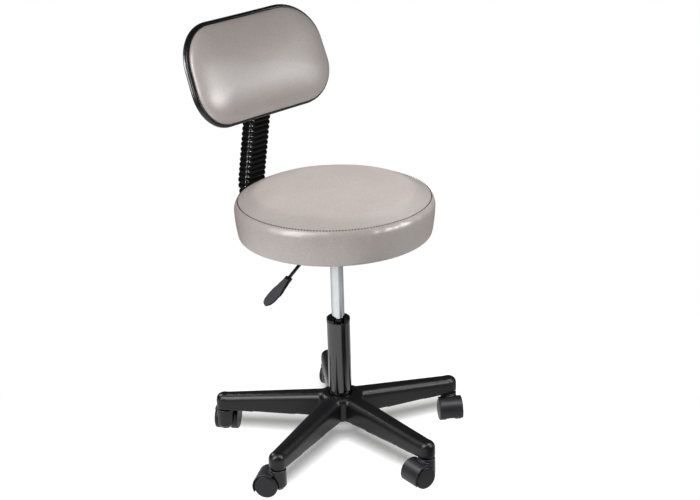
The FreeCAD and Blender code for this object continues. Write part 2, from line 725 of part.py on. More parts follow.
def build_lever():
    body = new_part("PartDesign::Body", "lever_rod")
    slope_cosine = cosine(S.lever_slope)
    slope_sine = sine(S.lever_slope)
    turn = S.lever_bend_radius * tangent(S.lever_slope / 2)
    section = new_sketch(body, "YZ_Plane", lift=S.lever_inner_end)
    draw_circle(section, 0, lever_height, lever_radius)
    spine = new_sketch(body, "XZ_Plane")
    draw(spine, [(S.lever_inner_end, lever_height), (turn - S.lever_corner, lever_height, S.lever_bend_radius),
                 (-S.lever_corner - turn * slope_cosine, lever_height - turn * slope_sine),
                 (-S.lever_corner - S.lever_tail * slope_cosine, lever_height - S.lever_tail * slope_sine)],
         closed=False)
    pipe = body.newObject("PartDesign::AdditivePipe", "rod")
    pipe.Profile = section
    pipe.Spine = (spine, ["Edge1", "Edge2", "Edge3"])
    eye = new_sketch(body, "XZ_Plane")
    draw_circle(eye, -lever_pivot, lever_height, S.eye_diameter / 2)
    add_pad(body, eye, S.eye_width, "Symmetric")
    hole = new_sketch(body, "XZ_Plane")
    draw_circle(hole, -lever_pivot, lever_height, S.pin_diameter / 2 + S.running_gap)
    add_pocket(body, hole)

    pin = new_part("Part::Cylinder", "lever_pin")
    length = S.eye_width + 2 * (S.ear_gap + S.ear_thickness + S.pin_overhang)
    pin.Placement = Placement(Vector(), Rotation(X_AXIS, -90))
    bind(pin, Radius=S.pin_diameter / 2, Height=length, Placement__Base__x=-lever_pivot,
         Placement__Base__y=-length / 2, Placement__Base__z=lever_height)

    # Oval sections along the paddle: the share of its length, and the half width and half thickness there
    neck = S.paddle_neck_diameter / 2
    wide = S.paddle_width / 2
    thin = S.paddle_thickness / 2
    ovals = [(0.0, neck, neck), (0.22, neck * 1.2, neck * 0.95), (0.62, wide, thin),
             (0.86, wide * 0.78, thin * 0.85), (1.0, S.paddle_tip_width / 2, S.paddle_tip_thickness / 2)]
    sections = []
    for share, half_width, half_thickness in ovals:
        oval = doc.addObject("Part::Ellipse", "paddle_oval")
        bind(oval, MajorRadius=half_width, MinorRadius=half_thickness, Placement__Base__z=S.paddle_length * share)
        sections.append(oval)
    blade = doc.addObject("Part::Loft", "paddle_blade")
    blade.Sections = sections
    blade.Solid = True
    bore = doc.addObject("Part::Cylinder", "paddle_bore")
    bind(bore, Radius=lever_radius + S.seat_gap, Height=S.lever_tail - S.paddle_start + S.seat_gap)
    paddle = new_part("Part::Cut", "lever_paddle")
    paddle.Base = blade
    paddle.Tool = bore
    along = Vector(-slope_cosine.value, 0, -slope_sine.value)
    across = Vector(0, 1, 0)
    corner = Vector(-S.lever_corner.value, 0, lever_height.value)
    paddle.Placement = Placement(corner + along * S.paddle_start.value, Rotation(across, along.cross(across), along))


# Seat

def build_seat():
    board = new_part("PartDesign::Body", "seat_board")
    disc = new_sketch(board, "XY_Plane", lift=board_bottom)
    draw_circle(disc, 0, 0, S.board_radius)
    add_pad(board, disc, S.board_thickness)
    holes = new_sketch(board, "XY_Plane")
    recesses = new_sketch(board, "XY_Plane", lift=board_top)
    pitch = S.seat_hole_pitch / 2
    for x, y in ((1, 1), (-1, 1), (-1, -1), (1, -1)):
        draw_circle(holes, x * pitch, y * pitch, S.tee_barrel_diameter / 2 + S.seat_gap)
        draw_circle(recesses, x * pitch, y * pitch, S.tee_flange_diameter / 2 + S.seat_gap)
    add_pocket(board, holes)
    add_pocket(board, recesses, "One side", S.tee_flange_height)

    bolt_circle = S.seat_hole_pitch / math.sqrt(2)
    screw_radius = S.seat_screw_diameter / 2
    screw_top = board_top - S.tee_flange_height
    head_low = plate_bottom - S.screw_head_height
    head_radius = S.screw_head_diameter / 2
    screw = [(0, head_low), (head_radius, head_low), (head_radius, plate_bottom), (screw_radius, plate_bottom),
             (screw_radius, screw_top), (0, screw_top)]
    bore = screw_radius + S.running_gap
    barrel = S.tee_barrel_diameter / 2
    flange = S.tee_flange_diameter / 2
    flange_low = board_top - S.tee_flange_height
    tee_low = board_top - S.tee_length
    tee_nut = [(bore, tee_low), (barrel, tee_low), (barrel, flange_low), (flange, flange_low), (flange, board_top),
               (bore, board_top)]
    for label, outline in (("seat_screws", screw), ("tee_nuts", tee_nut)):
        body = new_part("PartDesign::Body", label)
        add_polar(body, [add_turn(body, outline, x=bolt_circle)], 4)
        body.Placement = Placement(Vector(), Rotation(Z_AXIS, 45))

    pocket = S.board_radius + S.soft_gap
    seam = board_bottom + S.seat_side_height
    shoulder = S.seat_seam_radius - S.seat_shoulder_width
    shoulder_z = seam + S.seat_shoulder_height
    crown_radius = (shoulder * shoulder + S.seat_crown * S.seat_crown) / (2 * S.seat_crown)
    turned("seat_cushion", [(0, board_top), (pocket, board_top), (pocket, board_bottom),
                            (S.seat_foot_radius - S.seat_lip, board_bottom, S.seat_foot_height + S.seat_lip),
                            (S.seat_foot_radius, board_bottom + S.seat_foot_height, S.seat_side_bulge),
                            (S.seat_seam_radius, seam, S.seat_shoulder_radius), (shoulder, shoulder_z, crown_radius),
                            (0, shoulder_z + S.seat_crown)])


# Back bar and bellows

def bar_point(y, z, lean_y, lean_z, along, back):
    """A point beside the bar's centre line: along it, and back from it at right angles."""
    return (y + lean_y * along + lean_z * back, z + lean_z * along - lean_y * back)


def build_bar():
    body = new_part("PartDesign::Body", "back_bar")
    side = new_sketch(body, "YZ_Plane")
    outer = S.bar_bend_radius + bar_half
    inner = S.bar_bend_radius - bar_half
    before = -lean_sine

    def upright(along, back):
        return bar_point(corner_y, corner_z, before, lean_cosine, along, back)

    def top(along, back):
        return bar_point(corner_y, corner_z, back_sine, back_cosine, along, back)

    low = bar_height - bar_half
    high = bar_height + bar_half
    draw(side, [(S.bar_front, low), (S.bar_bend_start, low, outer), upright(-S.upright_length, bar_half),
                (*upright(-back_turn, bar_half), bar_half - S.back_bend_radius), top(back_turn, bar_half),
                top(S.bar_tail, bar_half), top(S.bar_tail, -bar_half),
                (*top(back_turn, -bar_half), S.back_bend_radius + bar_half), upright(-back_turn, -bar_half),
                (*upright(-S.upright_length, -bar_half), -inner), (S.bar_bend_start, high), (S.bar_front, high)])
    add_pad(body, side, S.bar_width, "Symmetric")


def rounded_section(frame, half_width, half_depth, radius):
    """A closed wire round the bar: a rectangle with arcs at its corners, in the plane of a frame."""
    edges = []
    x = half_width - radius
    y = half_depth - radius
    slant = radius * math.sqrt(0.5)
    for quarter, (side_x, side_y) in enumerate(((1, 1), (-1, 1), (-1, -1), (1, -1))):
        centre = Vector(side_x * x, side_y * y, 0)
        over = Vector(side_x * radius, 0, 0)
        up = Vector(0, side_y * radius, 0)
        first, last = (over, up) if quarter % 2 == 0 else (up, over)
        middle = centre + Vector(side_x * slant, side_y * slant, 0)
        edges.append(Part.Arc(centre + first, middle, centre + last).toShape())
        next_x, next_y = ((-1, 1), (-1, -1), (1, -1), (1, 1))[quarter]
        following = Vector(next_x * x, next_y * y, 0)
        step = Vector(next_x * radius, 0, 0) if quarter % 2 else Vector(0, next_y * radius, 0)
        edges.append(Part.LineSegment(centre + last, following + step).toShape())
    wire = Part.Wire(edges)
    wire.Placement = frame
    return wire


def build_bellows():
    body = new_part("Part::Feature", "bellows")
    bend_radius = S.bar_bend_radius.value
    start_angle = math.radians(S.bellows_start_angle.value)
    arc_length = bend_radius * (start_angle + math.radians(S.upright_lean.value))
    straight = S.upright_length.value - back_turn.value - S.bellows_end_gap.value
    length = arc_length + straight

    def frame(distance):
        """The place and turn of the section at a distance along the bar's centre line."""
        angle = min(distance, arc_length) / bend_radius - start_angle
        past = max(distance - arc_length, 0.0)
        y = S.bar_bend_start.value + bend_radius * math.cos(angle) - past * math.sin(angle)
        z = bend_height.value + bend_radius * math.sin(angle) + past * math.cos(angle)
        return Placement(Vector(0, y, z), Rotation(X_AXIS, math.degrees(angle)))

    bore_width = S.bar_width.value / 2 + S.bellows_side_room.value
    bore_depth = bar_half.value + S.bellows_face_room.value
    wall = S.bellows_wall.value
    corner = S.bellows_corner.value
    ribs = round(S.bellows_ribs.value)
    pitch = length / ribs
    sections = []
    for rib in range(ribs):
        for share, fold in ((0.0, 0.0), (0.3, S.bellows_fold.value), (0.62, S.bellows_fold.value), (0.92, 0.0)):
            swell = wall + fold
            place = frame((rib + share) * pitch)
            sections.append(rounded_section(place, bore_width + swell, bore_depth + swell, corner + fold / 2))
    sections.append(rounded_section(frame(length), bore_width + wall, bore_depth + wall, corner))
    sleeve = Part.makeLoft(sections, True, True)
    end_wall = S.bellows_end_wall.value
    stations = [end_wall + (arc_length - end_wall) * step / BORE_STEPS for step in range(BORE_STEPS + 1)]
    stations.append(length - end_wall)
    bore = Part.makeLoft([rounded_section(frame(at), bore_width, bore_depth, corner) for at in stations], True, True)
    slit_width = S.bar_width.value / 2 + S.soft_gap.value
    slit_depth = bar_half.value + S.soft_gap.value
    slit_corner = S.soft_gap.value
    ends = [(0.0, 2 * end_wall), (length - 2 * end_wall, length)]
    slits = [Part.makeLoft([rounded_section(frame(at), slit_width, slit_depth, slit_corner) for at in span], True, True)
             for span in ends]
    body.Shape = sleeve.cut(bore).cut(slits[0]).cut(slits[1])


# Clamp knobs: a stud that presses on the bar, and a fluted head, with their origin on the outer face they clamp

def build_knob(name, wall, place):
    stud_radius = S.stud_diameter / 2
    tip = wall + S.slide_gap - S.stud_gap
    stud_end = -S.knob_stand - S.stud_grip
    stud = turned(name + "_stud", rectangle(0, stud_end, stud_radius, tip))
    head = new_part("PartDesign::Body", name + "_knob")
    radius = S.knob_diameter / 2
    bore = stud_radius + S.seat_gap
    high = -S.knob_stand
    low = high - S.knob_height
    add_turn(head, [(0, low), (radius - S.knob_round, low, S.knob_round), (radius, low + S.knob_round),
                    (radius, high), (bore, high), (bore, stud_end), (0, stud_end)])
    flute_sketch = new_sketch(head, "XY_Plane")
    draw_circle(flute_sketch, radius + S.knob_flute_diameter / 4, 0, S.knob_flute_diameter / 2)
    flute = add_pocket(head, flute_sketch)
    add_polar(head, [flute], FLUTE_COUNT)
    stud.Placement = place
    head.Placement = place


# Backrest, in its own frame

back_frame = Placement(Vector(0, back_y.value, back_z.value), Rotation(X_AXIS, -S.back_lean.value))


def place_on_back(part):
    part.Placement = back_frame
    bind(part, Placement__Base__y=back_y, Placement__Base__z=back_z, Placement__Rotation__Angle=-S.back_lean)


def back_outline(inset):
    """The rest's outline seen from the front, drawn in by an inset: rounder at the top, wider at the bottom."""
    top = S.back_top_width / 2 - inset
    bottom = S.back_bottom_width / 2 - inset
    rise = S.back_height / 2 - inset
    top_round = S.back_top_round - inset
    low_round = S.back_bottom_round - inset
    return [(low_round - bottom, -rise), (bottom - low_round, -rise, low_round), (bottom, low_round - rise),
            (top, rise - top_round, top_round), (top - top_round, rise), (top_round - top, rise, top_round),
            (-top, rise - top_round), (-bottom, low_round - rise, low_round)]


def back_prism(inset):
    """A straight block of the rest's outline, deeper than the whole rest."""
    sketch = doc.addObject("Sketcher::SketchObject", "back_outline")
    sketch.Placement = Placement(Vector(), Rotation(X_AXIS, 90))
    draw(sketch, back_outline(inset))
    prism = doc.addObject("Part::Extrusion", "back_prism")
    prism.Base = sketch
    prism.DirMode = "Custom"
    prism.Dir = Vector(0, 1, 0)
    prism.Solid = True
    bind(prism, LengthFwd=S.back_height / 2, LengthRev=S.back_height / 2)
    return prism


def back_curve(depth):
    """A large upright cylinder whose face follows the rest's curve at a depth behind the rim's front."""
    cylinder = doc.addObject("Part::Cylinder", "back_curve")
    bind(cylinder, Radius=S.back_curve_radius + depth, Height=2 * S.back_height,
         Placement__Base__y=-S.back_curve_radius, Placement__Base__z=-S.back_height)
    return cylinder


def cut(base, tool, part=None):
    result = part or doc.addObject("Part::Cut", "cut")
    result.Base = base
    result.Tool = tool
    return result


def common(base, tool):
    result = doc.addObject("Part::Common", "common")
    result.Base = base
    result.Tool = tool
    return result


def back_screw_holes():
    holes = doc.addObject("Part::MultiFuse", "back_screw_holes")
    drills = []
    pitch = S.back_hole_pitch / 2
    for x, z in ((1, 1), (-1, 1), (-1, -1), (1, -1)):
        drill = doc.addObject("Part::Cylinder", "back_screw_hole")
        drill.Placement = Placement(Vector(), Rotation(X_AXIS, -90))
        bind(drill, Radius=S.back_screw_diameter / 2 + S.seat_gap, Height=2 * S.shell_depth,
             Placement__Base__x=x * pitch, Placement__Base__z=z * pitch)
        drills.append(drill)
    holes.Shapes = drills
    return holes


def build_back_shell():
    tray = S.shell_depth - S.shell_wall
    slab = cut(back_curve(S.shell_depth), back_curve(0))
    pocket = common(back_prism(S.rim_width), back_curve(tray))
    blank = cut(common(back_prism(0), slab), pocket)
    place_on_back(cut(blank, back_screw_holes(), new_part("Part::Cut", "back_shell")))
    layer = cut(back_curve(tray - S.seat_gap), back_curve(tray - S.back_board_thickness))
    panel = common(back_prism(S.rim_width + S.soft_gap), layer)
    place_on_back(cut(panel, back_screw_holes(), new_part("Part::Cut", "back_board")))


def back_wire(inset, depth, curved):
    """The rest's outline as a wire in space, flat or bent to the rest's curve, at a depth behind the rim's front."""
    radius = S.back_curve_radius.value

    def lifted(x, z):
        bend = math.sqrt((radius + depth) ** 2 - x * x) - radius if curved else depth
        return Vector(x, bend, z)

    corners = [tuple(as_size(item).value for item in corner) for corner in back_outline(inset)]
    edges = []
    for step, corner in enumerate(corners):
        following = corners[(step + 1) % len(corners)]
        start = Vector(corner[0], corner[1], 0)
        end = Vector(following[0], following[1], 0)
        edge = line_or_arc(start, end, corner[2] if len(corner) > 2 else 0)
        middle = edge.value((edge.FirstParameter + edge.LastParameter) / 2)
        ends = [lifted(point.x, point.y) for point in (start, middle, end)]
        straight = abs(ends[1].distanceToLine(ends[0], ends[2] - ends[0])) < S.touch_gap.value
        shape = Part.LineSegment(ends[0], ends[2]) if straight else Part.Arc(*ends)
        edges.append(shape.toShape())
    return Part.Wire(edges)


def build_back_cushion():
    body = new_part("Part::Feature", "back_cushion")
    inset = S.rim_width.value + S.soft_gap.value
    swell = S.back_cushion_swell.value
    seat_depth = S.shell_depth.value - S.shell_wall.value - S.back_board_thickness.value - S.seat_gap.value
    wires = [back_wire(inset, S.shell_depth.value, False), back_wire(inset, 0.0, True)]
    # How far the sides draw in as the cushion swells to its crown, as shares of the swell
    for draw_in, rise in ((0.02, 0.2), (0.14, 0.45), (0.48, 0.7), (1.1, 0.88), (1.8, 0.97)):
        wires.append(back_wire(inset + draw_in * swell, -rise * swell, True))
    wires.append(back_wire(inset + 2.0 * swell, -2.0 * swell, False))
    height = 2 * S.back_height.value
    radius = S.back_curve_radius.value
    foot = Vector(0, -radius, -height / 2)
    behind = Part.makeCylinder(radius + seat_depth, height, foot)
    before = Part.makeCylinder(radius - swell, height, foot)
    body.Shape = Part.makeLoft(wires, True, True).common(behind).cut(before)
    place_on_back(body)


def build_bracket():
    body = new_part("PartDesign::Body", "back_bracket")
    section = new_sketch(body, "XY_Plane", lift=-S.bracket_length / 2)
    wing = bracket_half + S.bracket_wing
    wing_back = bracket_front + S.bracket_wall
    draw(section, [(-wing, bracket_front), (wing, bracket_front), (wing, wing_back), (bracket_half, wing_back),
                   (bracket_half, bracket_back), (-bracket_half, bracket_back), (-bracket_half, wing_back),
                   (-wing, wing_back)])
    bore_half = S.bar_width / 2 + S.slide_gap
    bore_rise = bar_half + S.slide_gap
    draw(section, rectangle(-bore_half, bar_depth - bore_rise, bore_half, bar_depth + bore_rise))
    add_pad(body, section, S.bracket_length)
    holes = new_sketch(body, "XZ_Plane")
    pitch = S.back_hole_pitch / 2
    for x, z in ((1, 1), (-1, 1), (-1, -1), (1, -1)):
        draw_circle(holes, x * pitch, z * pitch, S.back_screw_diameter / 2 + S.seat_gap)
    add_pocket(body, holes)
    stud_hole = new_sketch(body, "XZ_Plane", lift=-bar_depth)
    draw_circle(stud_hole, 0, 0, S.stud_diameter / 2 + S.running_gap)
    add_pocket(body, stud_hole, "One side")
    place_on_back(body)

    screws = new_part("PartDesign::Body", "back_screws")
    tip = S.shell_depth - S.shell_wall - S.back_board_thickness + S.slide_gap
    radius = S.back_screw_diameter / 2
    head = S.back_screw_head_diameter / 2
    head_back = wing_back + S.back_screw_head_height
    screw = add_turn(screws, [(0, tip), (radius, tip), (radius, wing_back), (head, wing_back), (head, head_back),
                              (0, head_back)], x=S.back_hole_pitch / math.sqrt(2))
    add_polar(screws, [screw], 4)
    square = Placement(Vector(), Rotation(X_AXIS, -90)) * Placement(Vector(), Rotation(Z_AXIS, 45))
    screws.Placement = back_frame * square


# Casters: the stem stands on Z and the axle trails along X, until each is placed under its leg

def build_caster(number, turn):
    angle = S.first_leg_angle.value + 360.0 / LEG_COUNT * (number - 1)
    reach = S.leg_reach.value
    foot = Vector(reach * math.cos(math.radians(angle)), reach * math.sin(math.radians(angle)), 0)
    frame = Placement(foot, Rotation(Z_AXIS, turn))

    hood = new_part("PartDesign::Body", f"caster_hood_{number}")
    outer = wheel_radius + S.fender_gap + S.fender_wall
    inner = wheel_radius + S.fender_gap

    def spot(radius, angle):
        return (S.caster_trail + radius * cosine(angle), wheel_radius + radius * sine(angle))

    housing = S.housing_diameter / 2
    housing_top = leg_bottom - S.housing_gap
    add_turn(hood, [(0, S.housing_foot), (S.housing_foot_diameter / 2, S.housing_foot),
                    (housing, S.housing_foot + S.housing_taper), (housing, housing_top), (0, housing_top)])
    for side in (1, -1):
        well = new_sketch(hood, "XZ_Plane", lift=-side * S.web_width / 2)
        draw_circle(well, S.caster_trail, wheel_radius, inner)
        add_pocket(hood, well, "One side", turned_round=side < 0)
    low = -S.fender_low_angle
    high = S.fender_high_angle
    web = new_sketch(hood, "XZ_Plane")
    draw_circle(web, S.caster_trail, wheel_radius, S.web_diameter / 2)
    add_pad(hood, web, S.web_width, "Symmetric")
    fan = new_sketch(hood, "XZ_Plane")
    draw(fan, [(S.caster_trail, wheel_radius), (*spot(outer, low), outer), spot(outer, high)])
    add_pad(hood, fan, S.web_width, "Symmetric")
    fender = new_sketch(hood, "XZ_Plane")
    draw(fender, [(*spot(outer, low), outer), spot(outer, high), (*spot(inner, high), -inner), spot(inner, low)])
    hood_width = S.web_width + 2 * (S.wheel_side_gap + S.wheel_width)
    add_pad(hood, fender, hood_width, "Symmetric")
    axle_hole = new_sketch(hood, "XZ_Plane")
    draw_circle(axle_hole, S.caster_trail, wheel_radius, S.axle_diameter / 2 + S.seat_gap)
    add_pocket(hood, axle_hole)
    stem_low = S.housing_foot + S.stem_foot
    stem_hole = new_sketch(hood, "XY_Plane", lift=housing_top)
    draw_circle(stem_hole, 0, 0, S.stem_diameter / 2 + S.seat_gap)
    add_pocket(hood, stem_hole, "One side", housing_top - stem_low)
    hood.Placement = frame

    stem = turned(f"caster_stem_{number}", rectangle(0, stem_low, S.stem_diameter / 2, leg_bottom + S.stem_grip))
    stem.Placement = frame

    axle = new_part("Part::Cylinder", f"caster_axle_{number}")
    length = hood_width - 2 * S.wheel_face - 2 * S.slide_gap
    bind(axle, Radius=S.axle_diameter / 2, Height=length)
    lying = Placement(Vector(S.caster_trail.value, -length.value / 2, wheel_radius.value), Rotation(X_AXIS, -90))
    axle.Placement = frame * lying

    bore = S.axle_diameter / 2 + S.running_gap
    edge = S.wheel_edge_round
    flat = wheel_radius - edge
    bore_end = S.wheel_width - S.wheel_face
    for side, name in ((1, "left"), (-1, "right")):
        wheel = turned(f"caster_wheel_{number}_{name}",
                       [(bore, 0), (flat, 0, edge), (wheel_radius, edge), (wheel_radius, S.wheel_width - edge, edge),
                        (flat, S.wheel_width), (0, S.wheel_width), (0, bore_end), (bore, bore_end)])
        inside = side * (S.web_width / 2 + S.wheel_side_gap).value
        hung = Placement(Vector(S.caster_trail.value, inside, wheel_radius.value), Rotation(X_AXIS, -90 * side))
        wheel.Placement = frame * hung


build_base()
build_column()
build_gas_spring()
build_mechanism()
build_lever()
build_seat()
build_bar()
build_bellows()
build_back_shell()
build_back_cushion()
build_bracket()
build_knob("depth", S.guide_wall, Placement(Vector(0, S.depth_knob_place.value, guide_bottom.value), Rotation()))
knob_face = Placement(Vector(0, bracket_back.value, 0), Rotation(X_AXIS, 90))
build_knob("height", S.bracket_wall, back_frame * knob_face)
for number in range(1, LEG_COUNT + 1):
    build_caster(number, getattr(S, f"caster_turn_{number}").value)

doc.recompute()
faults = [item.Label for item in doc.Objects if "Invalid" in item.State or "Error" in item.State]
faults += [part.Label for part in parts if part.Shape.isNull() or not part.Shape.isValid() or not part.Shape.Solids]
if faults:
    raise SystemExit(f"these pieces failed: {faults}")

os.makedirs("parts", exist_ok=True)
for part in parts:
    part.Shape.exportStep(f"parts/{part.Label}.step")
    print(part.Label, len(part.Shape.Solids), round(part.Shape.Volume / 1000, 2))
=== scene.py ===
import json
import math
import random

import bmesh
import bpy
from mathutils import Matrix, Vector

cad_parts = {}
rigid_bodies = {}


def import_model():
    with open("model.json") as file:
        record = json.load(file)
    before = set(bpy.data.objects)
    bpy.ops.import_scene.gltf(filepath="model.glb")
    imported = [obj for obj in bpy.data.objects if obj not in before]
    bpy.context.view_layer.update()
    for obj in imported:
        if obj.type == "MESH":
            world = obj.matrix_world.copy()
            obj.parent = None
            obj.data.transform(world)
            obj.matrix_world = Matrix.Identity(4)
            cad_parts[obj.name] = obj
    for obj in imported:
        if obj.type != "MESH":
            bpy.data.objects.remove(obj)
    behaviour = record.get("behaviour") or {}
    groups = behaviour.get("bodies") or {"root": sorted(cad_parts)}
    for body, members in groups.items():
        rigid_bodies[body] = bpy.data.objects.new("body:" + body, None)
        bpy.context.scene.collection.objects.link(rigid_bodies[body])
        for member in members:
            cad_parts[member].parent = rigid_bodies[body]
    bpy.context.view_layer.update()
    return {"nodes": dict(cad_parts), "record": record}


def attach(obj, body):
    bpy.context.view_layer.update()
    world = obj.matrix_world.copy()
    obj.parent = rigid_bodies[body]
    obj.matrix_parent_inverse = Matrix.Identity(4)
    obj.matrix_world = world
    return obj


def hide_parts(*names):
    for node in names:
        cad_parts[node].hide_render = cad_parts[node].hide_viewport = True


# Round swivel stool with a small backrest: upholstery, mouldings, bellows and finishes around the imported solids
# Metres throughout; the sitter faces -Y, the lever is at -X

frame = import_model()
nodes = frame["nodes"]
scene = bpy.context.scene
print("frame:", len(nodes), "nodes")


# Colours, nodes and meshes

def linearColour(hexText):
    # the sRGB curve, undone
    channels = [int(hexText[step:step + 2], 16) / 255 for step in (0, 2, 4)]
    linear = [c / 12.92 if c <= 0.04045 else ((c + 0.055) / 1.055) ** 2.4 for c in channels]
    return (*linear, 1.0)


def addNode(tree, kind, sockets=None, feeds=None, **settings):
    # sockets: a value or another node's output for each input; feeds: the sockets that an output goes on to
    node = tree.nodes.new(kind)
    for name, value in settings.items():
        setattr(node, name, value)
    for name, value in (sockets or {}).items():
        if isinstance(value, bpy.types.NodeSocket):
            tree.links.new(value, node.inputs[name])
        else:
            node.inputs[name].default_value = value
    for name, socket in (feeds or {}).items():
        tree.links.new(node.outputs[name], socket)
    return node


def newMaterial(name):
    material = bpy.data.materials.new(name)
    material.use_nodes = True
    tree = material.node_tree
    return material, tree, tree.nodes["Principled BSDF"]


def perMetre(millimetres):
    return 1000.0 / millimetres


wearLook = {"detail": 4.0, "roughness": 0.55, "toneStops": (0.3, 0.7), "glossStops": (0.25, 0.75)}


def wear(tree, shader, colours, patchSize, roughness):
    # slow drift of colour and gloss, as handling and moulding leave it
    place = addNode(tree, "ShaderNodeTexCoord").outputs["Object"]
    patches = addNode(tree, "ShaderNodeTexNoise", {"Vector": place, "Scale": perMetre(patchSize),
                                                   "Detail": wearLook["detail"],
                                                   "Roughness": wearLook["roughness"]}).outputs["Fac"]
    tone = addNode(tree, "ShaderNodeValToRGB", {"Fac": patches}, {"Color": shader.inputs["Base Color"]})
    for stop, colour, spot in zip(tone.color_ramp.elements, colours, wearLook["toneStops"]):
        stop.color = linearColour(colour)
        stop.position = spot
    low, high = wearLook["glossStops"]
    addNode(tree, "ShaderNodeMapRange", {"Value": patches, "From Min": low, "From Max": high, "To Min": roughness[0],
                                         "To Max": roughness[1]}, {"Result": shader.inputs["Roughness"]})
    return place


def pieceFrom(bm, name, material, sharpAngle=40):
    mesh = bpy.data.meshes.new(name)
    bmesh.ops.recalc_face_normals(bm, faces=bm.faces)
    bm.to_mesh(mesh)
    bm.free()
    piece = bpy.data.objects.new(name, mesh)
    scene.collection.objects.link(piece)
    mesh.materials.append(material)
    mesh.shade_smooth()
    mesh.set_sharp_from_angle(angle=math.radians(sharpAngle))
    return piece


def applyModifiers(piece):
    # bakes the live modifiers into the mesh
    evaluated = piece.evaluated_get(bpy.context.evaluated_depsgraph_get())
    baked = bpy.data.meshes.new_from_object(evaluated)
    old = piece.data
    piece.modifiers.clear()
    piece.data = baked
    bpy.data.meshes.remove(old)


def dress(piece, body, slot, *replaced):
    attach(piece, body)
    if replaced:
        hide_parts(*replaced)
    return piece


# Camera, from the fitted view of the photograph

cameraView = {"place": (-2.2796, -2.2425, 1.6909), "target": (0.0205, -0.0213, 0.4513), "roll": -1.62,
              "lens": 82.95, "sensor": 36.0}


def makeCamera(view):
    data = bpy.data.cameras.new("camera")
    data.lens = view["lens"]
    data.sensor_width = view["sensor"]
    camera = bpy.data.objects.new("camera", data)
    scene.collection.objects.link(camera)
    place = Vector(view["place"])
    turn = (Vector(view["target"]) - place).to_track_quat("-Z", "Y").to_matrix().to_4x4()
    camera.matrix_world = Matrix.Translation(place) @ turn @ Matrix.Rotation(math.radians(view["roll"]), 4, "Z")
    scene.camera = camera


makeCamera(cameraView)
print("camera set")


# Stage: a white floor that keeps the shadows near the stool; the camera sees white behind it, mirrors a dim room

stageLook = {"floorSize": 60.0, "floorShade": "f6f6f6", "floorBounce": "a0a0a0", "floorGlow": 0.26,
             "clearFrom": 0.40, "clearTo": 0.85, "mirrorFrom": 0.20, "mirrorTo": 0.50,
             "farFrom": 0.95, "farTo": 1.25, "farShade": 0.22,
             "dimFloor": (0.035, -0.999, 0.0), "dimSector": (0.88, 0.965), "dimReach": (0.65, 0.80),
             "dimNear": 0.10, "dimFar": 0.66,
             "brightFloor": (-0.966, -0.259, 0.0), "brightSector": (-0.6, 0.85), "brightShade": 1.3,
             "rightShade": 0.45,
             "surround": 0.10, "room": 0.08, "backdrop": (0.69, 0.68, 0.25), "backdropSector": (-0.25, 0.3),
             "backdropShade": 0.06, "aim": (0, 0, 0.5),
             "lamps": {"left": {"place": (-2.4, 0.30, 1.5), "size": (0.9, 2.0), "power": 42.0, "on": "stool"},
                       "front": {"place": (0.98, -2.09, 1.17), "size": (1.2, 0.7), "power": 29.0, "on": "stool"},
                       "leftTop": {"place": (-1.31, -0.18, 1.98), "size": (0.9, 1.1), "power": 9.0, "on": "stool"},
                       "top": {"place": (1.3, 0.2, 2.1), "size": (1.0, 1.0), "power": 38.0, "on": "seat"},
                       "leftBase": {"place": (-1.40, -0.10, 1.85), "size": (1.4, 1.4), "power": 32.0, "on": "base"},
                       "frontBase": {"place": (0.46, -1.09, 2.07), "size": (1.2, 1.2), "power": 42.0, "on": "base"},
                       "backBase": {"place": (-0.23, 1.66, 1.67), "size": (0.8, 0.8), "power": 26.0, "on": "base"},
                       "edge": {"place": (-1.2, 1.95, 0.68), "size": (1.0, 0.8), "power": 46.0, "on": "shell"},
                       "glintLeft": {"place": (-2.0, 0.06, 1.5), "size": (0.5, 0.5), "power": 300.0, "on": "bellows"},
                       "glintRight": {"place": (-0.2, -1.76, 1.5), "size": (0.5, 0.5), "power": 300.0,
                                      "on": "bellows"}},
             "unmirrored": ("top",),
             "sun": {"place": (-1.0, -1.0, 1.65), "angle": 28.0, "strength": 3.7}}
receivers = {group: bpy.data.collections.new("lit_" + group)
             for group in ("stool", "floor", "seat", "base", "shell", "bellows", "star")}
groupOf = {"base_star_": ("base", "star"), "caster_hood_": ("base",), "back_shell_": ("shell",),
           "bellows_": ("bellows",), "seat_cushion_": ("seat",), "seat_seam_": ("seat",)}


